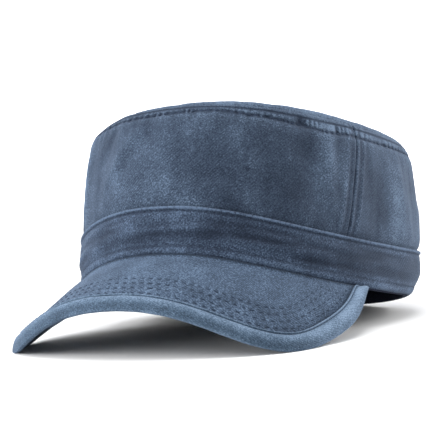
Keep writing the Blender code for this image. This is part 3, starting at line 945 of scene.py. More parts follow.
# %% Creases of the band
# turn and reach in degrees; up and how tall it is as shares of the band's height; climb: how much
# further up for each degree; tone: paler if positive.
BAND_CREASE_SHADES = (
    {"turn": 42, "reach": 13, "up": 0.54, "tall": 0.08, "climb": 0.004, "tone": -1.4},
    {"turn": 60, "reach": 10, "up": 0.28, "tall": 0.12, "climb": 0.002, "tone": -1.8},
    {"turn": 12, "reach": 14, "up": 0.44, "tall": 0.09, "climb": 0.003, "tone": -1.2},
    {"turn": 28, "reach": 9, "up": 0.72, "tall": 0.07, "climb": 0.002, "tone": -0.7},
    {"turn": 95, "reach": 26, "up": 0.50, "tall": 0.60, "climb": 0.0, "tone": -1.0},
    {"turn": -22, "reach": 10, "up": 0.60, "tall": 0.10, "climb": 0.004, "tone": -0.7},
)
CREASES = {"depth": 1.0, "long": 24, "tall": 3.2, "layer": 5.5}
SOFT_CREASES = {"depth": 1.0, "long": 12, "tall": 9, "layer": 1.2}


def band_crease_shades(turn, up):
    """The drawn creases of the band, from the table, painted darker as shade."""
    total = 0.0
    for crease in BAND_CREASE_SHADES:
        away = math.degrees(math.remainder(turn - math.radians(crease["turn"]), math.tau))
        middle = crease["up"] + crease["climb"] * away
        total += crease["tone"] * bump(away, crease["reach"]) * bump(up - middle, crease["tall"])
    return total


def crease_relief(turn, up):
    """Depth in millimetres, and worn dye with painted shade, of the creases between the band's two lines
    of stitches.
    """
    along = arc(turn)
    creases = wave(CREASES, along, up * BAND_HEIGHT)
    creases *= 0.7 + 0.6 * wrinkle(along, 0, 50 * MM, 1, 2.5)
    soft = wave(SOFT_CREASES, along, up * BAND_HEIGHT)
    drawn = band_crease_shades(turn, up)
    # The creases end at the hem and below the upper fold.
    body = ease((up - 0.2) / 0.15) * ease((0.86 - up) / 0.12)
    # Painted shade: the colour darkens strongly in the creases' hollows and pales a little on their
    # crests.
    wear_and_shading = 1.5 * min(creases, 0) + 0.4 * max(creases, 0) + 0.4 * soft + 1.1 * drawn
    # One upright fold lies at the wearer's right front.
    fold = 0.6 * turned_bump(turn, -48, 3)
    depth = 0.75 * creases + 0.35 * soft + 0.45 * drawn + fold
    return depth * body, (wear_and_shading + 0.6 * dye_and_shading_patches(turn, 0.1) + 1.5 * fold) * body


print("wear in one crease:", round(crease_relief(math.radians(42), 0.54)[1], 2))

# %% [markdown]
# The band's edges take the hardest wear, so the upper fold is a pale line, partly wear and partly
# painted light, with dark stitches under it in painted shade.
# The hem rolls out a little, and near the wearer's left it bulges over the end of the visor's binding.

# %% Band
# up: share of the band's height; out: share of its bulge.
BAND_ROWS = (
    (0.00, -0.10),
    (0.05, 0.45),
    (0.17, 0.50),
    (0.21, 0.34),
    (0.50, 0.90),
    (0.86, 0.42),
    (0.925, 0.36),
    (0.955, 0.55),
    (0.985, 0.50),
    (1.00, 0.05),
)
FINE_BAND_ROWS = smooth_rows(BAND_ROWS, (4, 5, 4, 12, 12, 5, 4, 4, 3))
BAND_STITCH = 0.905
BAND_RIDGE = 0.962
HEM_STITCH = 0.175
HEM_ROLL = 0.08
BAND_SEAM = math.radians(128)
# Where the end of the binding lies under the hem, in degrees.
BINDING_END_TURN = 86


def band_relief(turn, up):
    """Depth in metres, and worn dye with painted light and shade, of the band."""
    upper = bump((up - BAND_STITCH) * BAND_HEIGHT, 0.5 * MM)
    lower = bump((up - HEM_STITCH) * BAND_HEIGHT, 0.7 * MM)
    ridge = bump((up - BAND_RIDGE) * BAND_HEIGHT, 0.5 * MM)
    hem = bump((up - HEM_ROLL) * BAND_HEIGHT, 1.2 * MM)
    hills = pucker(arc(turn), STITCH_PITCH, 3.3)
    hem_hills = pucker(arc(turn), STITCH_PITCH, 5.9)
    depth, wear_and_shading = crease_relief(turn, up)
    depth += -0.35 * upper - 0.25 * lower + (0.12 + 0.12 * hills) * ridge + 0.14 * hem_hills * hem
    # Painted shade along both stitch lines and at the lowest edge; painted light and wear on the ridge
    # and hem.
    wear_and_shading += -(1.2 + 0.6 * hills) * upper - (0.7 + 0.4 * hem_hills) * lower
    wear_and_shading += (1.8 + 1.0 * hills) * ridge + (0.5 + 0.3 * hem_hills) * hem - 0.7 * ease(1 - up / 0.03)
    depth += 1.1 * turned_bump(turn, BINDING_END_TURN, 4) * bump(up - 0.06, 0.12)
    join = bump((abs(turn) - BAND_SEAM) * HEAD_HALF_LENGTH, 0.6 * MM)
    return MM * (depth - 0.6 * join), wear_and_shading - 1.2 * join


def band_loop(turn):
    """Section of the band."""
    outer = []
    for up, out in FINE_BAND_ROWS:
        depth, wear_and_shading = band_relief(turn, up)
        outer.append((band_row(turn, up, BAND_BULGE * out + depth), wear_and_shading))
    return section([turn] * len(outer), outer, BAND_WALL, 4)


band_loops = [band_loop(turn) for turn in round_turns(ROUND_COUNT)]
band = bent_wall(band_loops, True, 0.8 * MM, 0.5 * MM)
finish_piece("band_cloth", band, band_cotton, ["band_front", "band_back"])

# %% [markdown]
# The sweatband lines the foot of the cap. Only a sliver of it shows, but the cap can be turned over,
# so it is a real strip with a rolled foot. It is plain cotton, flat, with slight waves, and coloured
# dark as painted shade inside the cap.

# %% Sweatband
SWEATBAND_COUNT = 360
SWEATBAND_WAVES = {"depth": 0.15, "long": 9, "tall": 9, "layer": 6.6}


def sweatband_loop(turn):
    """Section of the sweatband."""
    outer = []
    for half_length, half_width, height in smooth_rows(sweatband_rows(turn), (8, 4, 6)):
        soft = wave(SWEATBAND_WAVES, arc(turn), height)
        inward = MM * min(soft, 0)
        outer.append(((half_length + inward, half_width + inward, height), 0.2 * soft))
    return section([turn] * len(outer), outer, SWEATBAND_WALL, 2)


sweat_loops = [sweatband_loop(turn) for turn in round_turns(SWEATBAND_COUNT)]
sweat = bent_wall(sweat_loops, True, 1.6 * MM, 1.5 * MM)
finish_piece("sweatband_cloth", sweat, sweat_cotton, ["sweatband"])

# %% [markdown]
# The visor is a stiff sheet covered in cloth. It is ruled between its joint under the band and its
# outer edge, as a sheet that bends one way is, and both lines are smooth curves. The wearer's right
# corner is bent a little less far down than the left one.

# %% The visor's joint and edge
VISOR_JOINT = math.radians(80.5)
VISOR_ROOT = math.radians(78)
VISOR_REACH = 0.0482
VISOR_DROP = 0.0400
VISOR_LIFT = 0.0014
RIGHT_CORNER_LIFT = 0.0040
VISOR_BULGE = 0.0022
VISOR_WALL = 0.0020
# across: share of the head's half width; ahead: share of the way forward; down: share of the drop.
VISOR_EDGE = (
    (0.000, 1.000, 0.500),
    (0.272, 0.974, 0.535),
    (0.536, 0.912, 0.715),
    (0.775, 0.808, 0.955),
    (0.958, 0.660, 1.020),
    (1.006, 0.472, 0.850),
    (1.072, 0.246, 0.530),
)


def root_point(turn):
    """Point of the visor's root under the band, in the middle of its thickness."""
    half_length, half_width, height = band_row(turn, 0, -0.5 * BAND_WALL)
    return head_point(turn, half_length, half_width, height - GAP - 0.5 * VISOR_WALL)


def joint_point(share):
    """Point of the visor's joint: share runs from -1 to 1."""
    return root_point(share * VISOR_JOINT)


def visor_controls():
    """Control points of the outer edge from the wearer's right end to the left."""
    end = root_point(VISOR_ROOT)
    front = HEAD_HALF_LENGTH + VISOR_REACH
    left = []
    right = []
    for across, ahead, down in VISOR_EDGE:
        y = end.y - (front + end.y) * ahead
        z = end.z + VISOR_LIFT * min(1, down * 2) - VISOR_DROP * down
        left.append(Vector((HEAD_HALF_WIDTH * across, y, z)))
        right.append(Vector((-HEAD_HALF_WIDTH * across, y, z + RIGHT_CORNER_LIFT * across * down)))
    return [joint_point(-1)] + right[:0:-1] + left + [joint_point(1)]


CONTROLS = visor_controls()
print("control points of the visor's edge:", len(CONTROLS))

# %% [markdown]
# The edge is a cubic B-spline. It passes near its control points and is smooth all along, so a few
# points give the long curve. Between the joint and the edge the surface has only a slight arch.


# %% The visor's surface
def edge_point(share):
    """Point of the outer edge: share runs from -1 to 1."""
    spans = len(CONTROLS) - 1
    place = min(max(0.5 * (share + 1), 0.0), 1.0) * spans
    index = min(int(place), spans - 1)
    t = place - index
    first = CONTROLS[index - 1] if index else 2 * CONTROLS[0] - CONTROLS[1]
    last = CONTROLS[index + 2] if index + 2 <= spans else 2 * CONTROLS[-1] - CONTROLS[-2]
    weights = ((1 - t) ** 3, 3 * t**3 - 6 * t**2 + 4, -3 * t**3 + 3 * t**2 + 3 * t + 1, t**3)
    points = (first, CONTROLS[index], CONTROLS[index + 1], last)
    return sum((point * weight for point, weight in zip(points, weights)), Vector()) / 6


def visor_point(share, out):
    """Point of the visor's middle surface: out is 0 at the joint and 1 at the edge."""
    arch = VISOR_BULGE * math.sin(math.pi * min(max(out, 0.0), 1.0))
    return joint_point(share).lerp(edge_point(share), out) + Vector((0, 0, arch))


print("the visor is", round((edge_point(0) - joint_point(0)).length / MM, 1), "mm long in front")

# %% [markdown]
# Two more measures follow from the surface. A station gives the visor's upward direction and its
# length, so that rows of stitching keep their distance from the edge. And where the visor would stand
# in front of the hem, it is pressed down, because the hem lies over it.

# %% Stations, and the place under the hem
# How far to each side the edge's direction is taken, and the least that the edge counts as square
# to the visor's length.
EDGE_STEP = 0.01
LEAST_SQUARE = 0.3
HEM_CLEARANCE = 0.15 * MM
UNDER_HEM_RISE = 1.0 * MM
LEFT_HEM_SLOPE = 0.05
RIGHT_HEM_SLOPE = 0.9


def station(share):
    """Upward normal of the visor there, its length, and its length square to the edge."""
    side = edge_point(share + EDGE_STEP) - edge_point(share - EDGE_STEP)
    ruling = edge_point(share) - joint_point(share)
    normal = side.cross(ruling)
    normal = normal if normal.z > 0 else -normal
    square = side.normalized().cross(ruling.normalized()).length
    return normal.normalized(), ruling.length, max(square, LEAST_SQUARE) * ruling.length


def foot_outline():
    """Direction, distance from the middle and turn of the band's foot."""
    rows = []
    for degree in range(-150, 151):
        turn = math.radians(degree)
        point = head_point(turn, *band_row(turn, 0, BAND_BULGE * 0.4))
        rows.append((math.atan2(point.x, -point.y), math.hypot(point.x, point.y), turn))
    return rows


FOOT = foot_outline()


def under_hem(point):
    """The same point, pressed down where it would stand in front of the band's hem."""
    toward = math.atan2(point.x, -point.y)
    rows = ((radius, turn) for angle, radius, turn in FOOT if angle >= toward)
    distance, turn = next(rows, FOOT[-1][1:])
    outside = math.hypot(point.x, point.y) - distance
    tucked = UNDER_HEM_RISE * ease((-outside - 0.3 * MM) / (0.8 * MM))
    slope = LEFT_HEM_SLOPE if turn > 0 else RIGHT_HEM_SLOPE
    limit = lower_edge(turn) - HEM_CLEARANCE + tucked + slope * max(outside, 0)
    return Vector((point.x, point.y, min(point.z, limit)))


print("square length of the visor in front:", round(station(0)[2] / MM, 1), "mm")

# %% [markdown]
# Four rows of stitching follow the visor's edge and hold its stiff lining. Each stitch pulls a small
# dimple into the cloth, painted dark as shade, and the cloth puffs up between two stitches, painted pale
# as light and wear, so the rows are seen as dotted lines. The dimples are part of the mesh, because the
# light has to fall into them.

# %% Rows of stitching on the visor
VISOR_STITCH_ROWS = (12.4 * MM, 17.0 * MM, 21.6 * MM, 26.2 * MM)
VISOR_PITCH = 5.0 * MM
BINDING_WIDTH = 0.0088
VISOR_WAVES = {"depth": 0.25, "long": 20, "tall": 14, "layer": 4.2}
VISOR_DYE = {"depth": 0.5, "long": 14, "tall": 11, "layer": 2.0}
UNEVEN_STITCHES = {"depth": 0.9, "long": 5, "tall": 2, "layer": 3.4}


def row_phase(index):
    """Where the first stitch of a row lies. Neighbouring rows are half a stitch apart, and drift."""
    return (0.5 * (index % 2) + 0.13 * index) * VISOR_PITCH


def visor_relief(share, inset, along):
    """Depth in metres, and worn dye with painted light and shade, at a distance in from the edge."""
    depth = wave(VISOR_WAVES, along, inset)
    wear_and_shading = wave(VISOR_DYE, along, inset)
    # The stitching flattens out toward the wearer's left corner.
    rough = (1 + wave(UNEVEN_STITCHES, along, inset)) * (1 - 0.55 * ease((share - 0.3) / 0.35))
    for index, row in enumerate(VISOR_STITCH_ROWS):
        groove = bump(inset - row, 0.45 * MM)
        beside = bump(inset - row, 1.9 * MM)
        held = ease(0.75 + math.cos(math.tau * (along - row_phase(index)) / VISOR_PITCH))
        free = 1 - held
        depth += rough * (-0.20 * groove * held + 0.10 * beside * free)
        # Painted shade in each dimple, beside each row and beside the binding; painted light on the
        # puffs.
        wear_and_shading += rough * (-0.9 * groove * held + (0.75 * groove + 0.30 * beside) * free) - 0.32 * beside
    edge_shade = bump(inset - BINDING_WIDTH, 1.3 * MM)
    return MM * depth, wear_and_shading - 1.2 * edge_shade - 0.35 * ease(2 * share)


print("rows of visor stitching:", len(VISOR_STITCH_ROWS))

# %% [markdown]
# The sheet runs from under the band to inside the binding. Its root is tucked up into the hem, so that
# no light shines through between them, and is painted dark there as shade, as cloth in a deep corner is.

# %% Visor sheet
VISOR_ROWS = 74
VISOR_COUNT = 600
VISOR_SHEET_END = 0.95
BINDING_COVER = 1.6 * MM
ROOT_TUCK = 1.2 * MM
ROOT_REACH = 2.2 * MM
ROOT_SHADE = 4.0
ROOT_SHADE_REACH = 1.7 * MM
UP = Vector((0, 0, 1))


def edge_lengths(last, count):
    """Shares along the visor with the distance along its edge."""
    shares = [last * (2 * i / count - 1) for i in range(count + 1)]
    travelled = [0.0]
    for before, after in zip(shares, shares[1:]):
        travelled.append(travelled[-1] + (edge_point(after) - edge_point(before)).length)
    return list(zip(shares, travelled))


def visor_loop(share, along):
    """Section of the visor's sheet, from under the band to inside the binding."""
    normal, length, square = station(share)
    stop = 1 - BINDING_COVER / square
    upper = []
    lower = []
    for row in range(VISOR_ROWS):
        out = stop * row / (VISOR_ROWS - 1)
        middle = visor_point(share, out) + ROOT_TUCK * ease(1 - out * length / ROOT_REACH) * UP
        depth, wear_and_shading = visor_relief(share, (1 - out) * square, along)
        ends = ease(out * length / (2 * MM)) * ease((stop - out) * length / (3 * MM))
        wear_and_shading -= ROOT_SHADE * ease(1 - out * length / ROOT_SHADE_REACH)
        above = middle + normal * (0.5 * VISOR_WALL + depth * ends)
        below = middle - normal * (0.5 * VISOR_WALL + 0.6 * depth * ends)
        upper.append((under_hem(above), wear_and_shading))
        # Painted shade: the visor's underside is coloured darker than its top.
        lower.append((under_hem(below), wear_and_shading - 0.5))
    return upper + lower[::-1]


visor_loops = [visor_loop(*place) for place in edge_lengths(VISOR_SHEET_END, VISOR_COUNT)]
visor = bent_wall(visor_loops, False, 0.45 * MM, 0.6 * MM)
finish_piece("visor_cloth", visor, visor_cotton, ["visor"])

# %% [markdown]
# The visor's edge is bound with a folded strip, about 9 mm wide. Its inner fold stands up as a bead,
# sewn down beside it, so the bead is puckered and painted paler than the rest, partly as wear and partly
# as light. Its top is painted paler on the roll and darker near the edge, and its underside darker, as
# painted light and shade. A pipe swept along the edge would be round all over, so the strip has a
# section of its own, folded over the edge.

# %% Shape of the binding
BINDING_WALL = 0.0010
BINDING_DEPTH = 0.5 * VISOR_WALL + GAP + BINDING_WALL
MOST_BOUND = 0.9
BINDING_BEAD = 0.93
BINDING_GROOVE = 0.86
BINDING_WAVES = {"depth": 1.0, "long": 9, "tall": 4, "layer": 9.0}
# inset: share of the binding's width in from the visor's edge; lift: share of its half depth.
BINDING_ROWS = (
    (1.00, 0.90),
    (0.98, 1.20),
    (0.93, 1.42),
    (0.88, 1.22),
    (0.84, 1.12),
    (0.76, 1.36),
    (0.62, 1.54),
    (0.46, 1.48),
    (0.30, 1.24),
    (0.16, 0.90),
    (0.05, 0.48),
    (-0.02, 0.00),
    (0.04, -0.55),
    (0.18, -0.95),
    (0.50, -1.15),
    (0.97, -1.05),
    (1.00, -0.85),
)


def binding_relief(share, along, inset, lift):
    """Depth in metres, and worn dye with painted light and shade, of the binding."""
    top_side = ease(lift * 4)
    hills = pucker(along, STITCH_PITCH, 7.1)
    bead = bump(inset - BINDING_BEAD, 0.05) * top_side
    groove = bump(inset - BINDING_GROOVE, 0.035) * top_side
    roll = bump(inset - 0.60, 0.22) * top_side
    soft = wave(BINDING_WAVES, along, inset * BINDING_WIDTH) * (1 - bead)
    depth = 0.12 * hills * bead - 0.12 * groove + 0.16 * soft
    # Painted light on the top side's roll; painted shade near the outer edge on top and underneath.
    wear_and_shading = (0.9 + 0.4 * hills) * bead - 1.3 * groove + 0.5 * soft + 0.55 * roll
    wear_and_shading -= 0.7 * bump(inset - 0.12, 0.18) * top_side + 0.3 * ease(-lift * 2)
    return MM * depth, wear_and_shading + 0.7 * ease((share - 0.5) / 0.3)


def binding_point(share, along, inset, lift):
    """A point of the binding's outside, with its worn dye and painted light and shade. inset: share of
    the binding's width.
    """
    normal, _, square = station(share)
    width = min(BINDING_WIDTH / square, MOST_BOUND)
    depth, wear_and_shading = binding_relief(share, along, inset, lift)
    face = BINDING_DEPTH * lift + depth * math.copysign(1, lift)
    # At the wearer's right corner the binding hangs lower than the visor.
    hang = (2.6 * bump(share + 0.5, 0.15) + 0.7 * bump(share + 0.2, 0.2)) * (1 - inset)
    return under_hem(visor_point(share, 1 - width * inset) + normal * face - hang * MM * UP), wear_and_shading


print("half depth of the binding:", round(BINDING_DEPTH / MM, 2), "mm")

# %% [markdown]
# Each section of the binding has the folded outside and a plainer inside that lies on the visor. The
# sections stop just short of the visor's joint, where the ends go in under the hem.

# %% Binding
BINDING_COUNT = 640
BINDING_END = 0.988
INSIDE_LIFT = 0.05 * MM
# Painted shade: the binding's inside, which lies on the visor, is coloured darker.
BINDING_INSIDE_SHADE = -0.5


def binding_loop(share, along, rows):
    """Section of the binding, folded over the visor's edge."""
    normal, _, square = station(share)
    width = min(BINDING_WIDTH / square, MOST_BOUND)
    outside = [binding_point(share, along, inset, lift) for inset, lift in rows]
    inside = []
    for inset, lift in rows:
        back = max(width * inset, BINDING_WALL / square)
        level = (0.5 * VISOR_WALL + INSIDE_LIFT) * min(max(lift, -1), 1)
        inside.append((under_hem(visor_point(share, 1 - back) + normal * level), BINDING_INSIDE_SHADE))
    return outside + inside[::-1]


fine_binding_rows = smooth_rows(BINDING_ROWS, [4] * (len(BINDING_ROWS) - 1))
binding_places = edge_lengths(BINDING_END, BINDING_COUNT)
binding_loops = [binding_loop(*place, fine_binding_rows) for place in binding_places]
binding = bent_wall(binding_loops, False, 0.45 * MM, 0.5 * MM)
finish_piece("visor_binding_cloth", binding, binding_cotton, ["visor_binding"])

# %% [markdown]
# Sewing thread sinks into washed cloth, so a stitch shows as a short dark dash with cloth puffed up
# beside it. The thread is dyed cotton, twisted and matt. It was dyed with the cloth and has faded in
# places, so it is a dark blue that turns paler here and there. Its dark colour is partly painted shade,
# for the groove it sinks into.


# %% Sewing thread
def sewing_thread(name, dark, pale):
    """Dyed cotton sewing thread, matt."""
    material, tree, shader = matt_material(name, 0.9)
    place = add(tree, "ShaderNodeTexCoord").outputs["Object"]
    faded = add(tree, "ShaderNodeTexNoise", {"Scale": 1 / BLOTCH_SIZE, "Detail": 4.0}, {"Vector": place})
    ramp = add(tree, "ShaderNodeValToRGB", {}, {"Fac": faded.outputs["Fac"]})
    ramp.color_ramp.elements[0].color = (*linear(dark), 1)
    ramp.color_ramp.elements[1].color = (*linear(pale), 1)
    tree.links.new(ramp.outputs["Color"], shader.inputs["Base Color"])
    shader.inputs["Specular IOR Level"].default_value = 0.15
    return material


dark_thread = sewing_thread("dyed cotton sewing thread", "#161e2c", "#3d4a5f")
print("thread:", dark_thread.name)

# %% [markdown]
# Stitches lie on lines that the cloth's own sections already hold. A line is found where each section
# reaches the wanted height, it is measured along its length, and it is cut into dashes. A real
# machine's stitches are never quite alike, so their lengths vary a little.

# %% Lines of stitches
LENGTH_CHANGE = 0.3


def crossing(points, levels, wanted):
    """The point of a section at which its level reaches the wanted one."""
    index = min(max(bisect_right(levels, wanted), 1), len(points) - 1)
    low = levels[index - 1]
    high = levels[index]
    return points[index - 1].lerp(points[index], min(max((wanted - low) / (high - low), 0), 1))


def measured(points):
    """A path of (distance, point) from its points."""
    path = [(0.0, points[0])]
    for before, after in zip(points, points[1:]):
        step = (after - before).length
        if step > 1e-6:
            path.append((path[-1][0] + step, after))
    return path


def dashes(path, pitch, length, first=0.0):
    """Start and end points of the stitches along a path of (distance, point)."""
    distances = [distance for distance, _ in path]
    points = [point for _, point in path]
    found = []
    middle = distances[0] + first + pitch
    while middle < distances[-1] - pitch:
        change = LENGTH_CHANGE * noise.noise(Vector((middle / pitch, first, 0.7)))
        half = 0.5 * length * (1 + change)
        ends = (crossing(points, distances, middle - half), crossing(points, distances, middle + half))
        found.append(ends)
        middle += pitch
    return found


straight = measured([Vector((0, 0, 0)), Vector((0.1, 0, 0))])
print("stitches on a straight line of 100 mm:", len(dashes(straight, STITCH_PITCH, 2 * MM)))

# %% [markdown]
# Each stitch is one small low ball, drawn out to a dash and laid along its line. All stitches of a
# seam are one piece. They are built in small batches, because adding to a large mesh is slow.

# %% Making stitches
BATCH = 32


def dash_matrix(start, end, thick):
    """Turns, stretches and places a ball of radius 1 as one stitch."""
    along = (end - start).normalized()
    aside = along.orthogonal().normalized()
    up = along.cross(aside)
    sides = (along * (end - start).length / 2, aside * thick / 2, up * thick / 2)
    shape = Matrix.Translation((start + end) / 2) @ Matrix(sides).transposed().to_4x4()
    return shape @ Matrix.Rotation(math.pi / 2, 4, "Y")


def stitch_piece(name, found, thick):
    """All stitches of one seam as one piece."""
    work = bmesh.new()
    for first in range(0, len(found), BATCH):
        batch = bmesh.new()
        for start, end in found[first : first + BATCH]:
            matrix = dash_matrix(start, end, thick)
            bmesh.ops.create_uvsphere(batch, u_segments=6, v_segments=4, radius=1, matrix=matrix)
        mesh = bpy.data.meshes.new("batch")
        batch.to_mesh(mesh)
        batch.free()
        work.from_mesh(mesh)
        bpy.data.meshes.remove(mesh)
    bmesh.ops.recalc_face_normals(work, faces=work.faces)
    print(name, "has", len(found), "stitches")
    return finish_piece(name, work, dark_thread)


print("a stitch of 2 mm:", dash_matrix(Vector(), Vector((2 * MM, 0, 0)), 0.4 * MM).to_scale())

# %% [markdown]
# The rim's thread is the thickest, and its stitches are the longest. The side seams have two rows of
# fine topstitching each, one on either side.

# %% Stitches of the crown
RIM_THREAD = 1.0 * MM
RIM_DASH = 2.7 * MM
FINE_THREAD = 0.4 * MM
FINE_DASH = 1.9 * MM


def crown_levels(turn):
    """Height of each row of the wall's section, counted from the rim's stitching."""
    place = math.remainder(leaning(turn, 1.0), math.tau)
    tall = RIM_STRIP * rim_share(place)
    foot = rim_line(place) + WALL_HEIGHT
    return [rise * WALL_HEIGHT + strip * tall - foot for rise, strip, _, _ in FINE_CROWN_ROWS]


def rim_path(loops, start, end):
    """The line of the rim's stitching over one panel."""
    points = []
    for index, loop in enumerate(loops):
        turn = start + (end - start) * index / (len(loops) - 1)
        outside = [point for point, _ in loop[: len(FINE_CROWN_ROWS)]]
        points.append(crossing(outside, crown_levels(turn), 0.0))
    return measured(points[2:-2])


def seam_path(loops, start, end, turn):
    """A line of topstitching beside a side seam."""
    loop = loops[round((turn - start) / (end - start) * (len(loops) - 1))]
    rows = zip(loop, crown_levels(turn))
    return measured([point for (point, _), level in rows if -0.95 * WALL_HEIGHT < level < -1 * MM])


front_panel = (front_loops, -SIDE_SEAM, SIDE_SEAM)
back_panel = (back_loops, SIDE_SEAM, math.tau - SIDE_SEAM)
rim_dashes = dashes(rim_path(*front_panel), RIM_PITCH, RIM_DASH)
rim_dashes += dashes(rim_path(*back_panel), RIM_PITCH, RIM_DASH)
stitch_piece("rim_stitches", rim_dashes, RIM_THREAD)
row_turn = SEAM_ROW / HEAD_HALF_LENGTH
seam_rows = (
    (front_panel, SIDE_SEAM - row_turn),
    (front_panel, row_turn - SIDE_SEAM),
    (back_panel, SIDE_SEAM + row_turn),
    (back_panel, math.tau - SIDE_SEAM - row_turn),
)
seam_dashes = []
for panel, turn in seam_rows:
    seam_dashes += dashes(seam_path(*panel, turn), STITCH_PITCH, FINE_DASH)
stitch_piece("seam_stitches", seam_dashes, FINE_THREAD)

# %% [markdown]
# The band has one line under its upper fold and one above its hem. On the visor, the stitches lie in
# the dimples of its four rows, and one more line holds the binding beside its bead.

# %% Stitches of the band and the visor
BAND_DASH = 2.0 * MM
BAND_THREAD = 0.45 * MM
VISOR_DASH = 2.9 * MM
BINDING_THREAD = 0.35 * MM
STITCH_LIFT = 0.05 * MM
LINE_COUNT = 480


def band_path(up):
    """A line of stitching round the band."""
    levels = [row_up for row_up, _ in FINE_BAND_ROWS]
    points = []
    for step in range(ROUND_COUNT + 1):
        outside = [point for point, _ in band_loops[step % ROUND_COUNT][: len(FINE_BAND_ROWS)]]
        points.append(crossing(outside, levels, up))
    return measured(points)


def row_path(inset):
    """A row of visor stitching, by its distance in from the edge, with distances along the edge."""
    path = []
    for share, along in edge_lengths(0.93, LINE_COUNT):
        normal, length, square = station(share)
        out = 1 - inset / square
        if out * length > 2.5 * MM:
            face = 0.5 * VISOR_WALL + visor_relief(share, inset, along)[0] + STITCH_LIFT
            path.append((along, under_hem(visor_point(share, out) + normal * face)))
    return path


upper_dashes = dashes(band_path(BAND_STITCH), STITCH_PITCH, BAND_DASH)
stitch_piece("band_stitches", upper_dashes, BAND_THREAD)
hem_dashes = dashes(band_path(HEM_STITCH), STITCH_PITCH, FINE_DASH)
stitch_piece("hem_stitches", hem_dashes, FINE_THREAD)
visor_dashes = []
for index, inset in enumerate(VISOR_STITCH_ROWS):
    path = row_path(inset)
    first = (row_phase(index) - path[0][0]) % VISOR_PITCH
    visor_dashes += dashes(path, VISOR_PITCH, VISOR_DASH, first)
stitch_piece("visor_stitches", visor_dashes, FINE_THREAD)
binding_line = []
for share, along in edge_lengths(0.97, LINE_COUNT):
    binding_line.append((along, binding_point(share, along, BINDING_GROOVE, 1.12)[0]))
binding_dashes = dashes(binding_line, STITCH_PITCH, FINE_DASH)
stitch_piece("binding_stitches", binding_dashes, BINDING_THREAD)

# %% [markdown]
# The camera stands low, a little to the wearer's left, where the picture of the real cap was taken.
# The cap is tipped back as it rests, so the camera is rolled by the angle that this tip makes in its
# view. The lens follows from how large the cap is in the picture.

# %% Camera
VIEW_AZIMUTH = math.radians(27.063)
VIEW_ELEVATION = math.radians(2.839)
VIEW_ROLL = math.radians(-3.311)
VIEW_DISTANCE = 1.0330
VIEW_TARGET = Vector((-0.01349, 0.02231, 0.05892))
FOCAL_PIXELS = 1836.2
FRAME_PIXELS = 440
SENSOR_MM = 36


def place_camera():
    """Adds the camera at the photograph's angle."""
    data = bpy.data.cameras.new("camera")
    data.sensor_width = SENSOR_MM
    data.lens = SENSOR_MM * FOCAL_PIXELS / FRAME_PIXELS
    camera = bpy.data.objects.new("camera", data)
    bpy.context.scene.collection.objects.link(camera)
    aim = Euler((math.pi / 2 - VIEW_ELEVATION, 0, VIEW_AZIMUTH)).to_matrix()
    turn = aim @ Matrix.Rotation(VIEW_ROLL, 3, "Z")
    back = turn @ Vector((0, 0, VIEW_DISTANCE))
    camera.matrix_world = Matrix.Translation(VIEW_TARGET + back) @ turn.to_4x4()
    bpy.context.scene.camera = camera
    return camera


camera = place_camera()
print("camera at", [round(value, 4) for value in camera.matrix_world.translation])

# %% [markdown]
# The stage is a pale floor that curves up far behind the cap, so no edge shows. It is a sheet of matt
# backdrop paper, as in a photo studio: it takes soft shadows and has no shine. A grid is bent for it,
# as for the cloth.

# %% Stage
FLOOR_HALF = 6
FLOOR_ROWS = 48
BEND_START = 2.5
BEND_RADIUS = 1.2


def pale_floor():
    """Adds the floor and its curved back."""
    work = bmesh.new()
    bmesh.ops.create_grid(work, x_segments=1, y_segments=FLOOR_ROWS, size=FLOOR_HALF)
    for vert in work.verts:
        along = vert.co.y
        past = max(along - BEND_START, 0.0)
        angle = min(past / BEND_RADIUS, math.pi / 2)
        straight = max(past - BEND_RADIUS * math.pi / 2, 0)
        vert.co.y = min(along, BEND_START) + BEND_RADIUS * math.sin(angle)
        vert.co.z = BEND_RADIUS * (1 - math.cos(angle)) + straight
    bmesh.ops.rotate(work, matrix=Matrix.Rotation(VIEW_AZIMUTH, 3, "Z"), verts=work.verts)
    mesh = bpy.data.meshes.new("floor")
    work.to_mesh(mesh)
    work.free()
    mesh.shade_smooth()
    material, _, shader = matt_material("matt white backdrop paper", 0.9)
    shader.inputs["Base Color"].default_value = (*linear("#f4f4f4"), 1)
    shader.inputs["Specular IOR Level"].default_value = 0.1
    mesh.materials.append(material)
    floor = bpy.data.objects.new("floor", mesh)
    bpy.context.scene.collection.objects.link(floor)
    return floor


floor = pale_floor()
print("the floor rises", round(floor.dimensions.z, 2), "m behind the cap")

# %% [markdown]
# Two large soft lights stand at the sides, as in a light tent, and a softer one hangs above. They
# brighten the cloth where it turns away and leave the middle of the crown darker. One more lights only
# the backdrop, and a pale world fills the shadows.

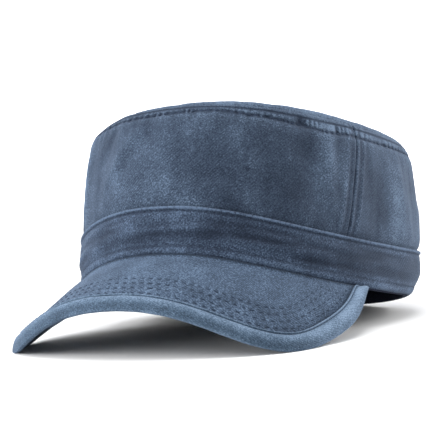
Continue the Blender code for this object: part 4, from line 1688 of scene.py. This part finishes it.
# %% Lights
# azimuth and elevation in degrees from the camera's, distance and size in metres, power in watts.
LIGHTS = (
    {"name": "left_light", "azimuth": -72, "elevation": 18, "distance": 1.3, "size": 1.0, "power": 20},
    {"name": "right_light", "azimuth": 108, "elevation": 18, "distance": 1.3, "size": 0.9, "power": 16},
    {"name": "top_light", "azimuth": -10, "elevation": 78, "distance": 1.5, "size": 1.0, "power": 18},
    {"name": "front_light", "azimuth": 0, "elevation": 30, "distance": 1.8, "size": 0.8, "power": 3},
)
BACKDROP_LIGHT = {"back": 1.4, "high": 1.6, "tilt": 82, "size": 1.6, "power": 160}
WORLD_STRENGTH = 0.45


def square_light(name, size, power, matrix):
    """Adds a square soft light."""
    data = bpy.data.lights.new(name, "AREA")
    data.shape = "SQUARE"
    data.size = size
    data.energy = power
    light = bpy.data.objects.new(name, data)
    light.matrix_world = matrix
    bpy.context.scene.collection.objects.link(light)


for light in LIGHTS:
    azimuth = VIEW_AZIMUTH + math.radians(light["azimuth"])
    facing = Euler((math.pi / 2 - math.radians(light["elevation"]), 0, azimuth)).to_matrix().to_4x4()
    away = Matrix.Translation((0, 0, light["distance"]))
    matrix = Matrix.Translation(VIEW_TARGET) @ facing @ away
    square_light(light["name"], light["size"], light["power"], matrix)
facing = Euler((math.radians(BACKDROP_LIGHT["tilt"]), 0, VIEW_AZIMUTH)).to_matrix().to_4x4()
behind = Vector((0, BACKDROP_LIGHT["back"], BACKDROP_LIGHT["high"]))
behind.rotate(Matrix.Rotation(VIEW_AZIMUTH, 3, "Z"))
matrix = Matrix.Translation(behind) @ facing
square_light("backdrop_light", BACKDROP_LIGHT["size"], BACKDROP_LIGHT["power"], matrix)
world = bpy.data.worlds.new("pale studio")
world.use_nodes = True
background = world.node_tree.nodes["Background"]
background.inputs["Color"].default_value = (*linear("#ffffff"), 1)
background.inputs["Strength"].default_value = WORLD_STRENGTH
bpy.context.scene.world = world
bpy.context.scene.view_settings.view_transform = "Standard"
print("lights:", [light.name for light in bpy.data.lights])
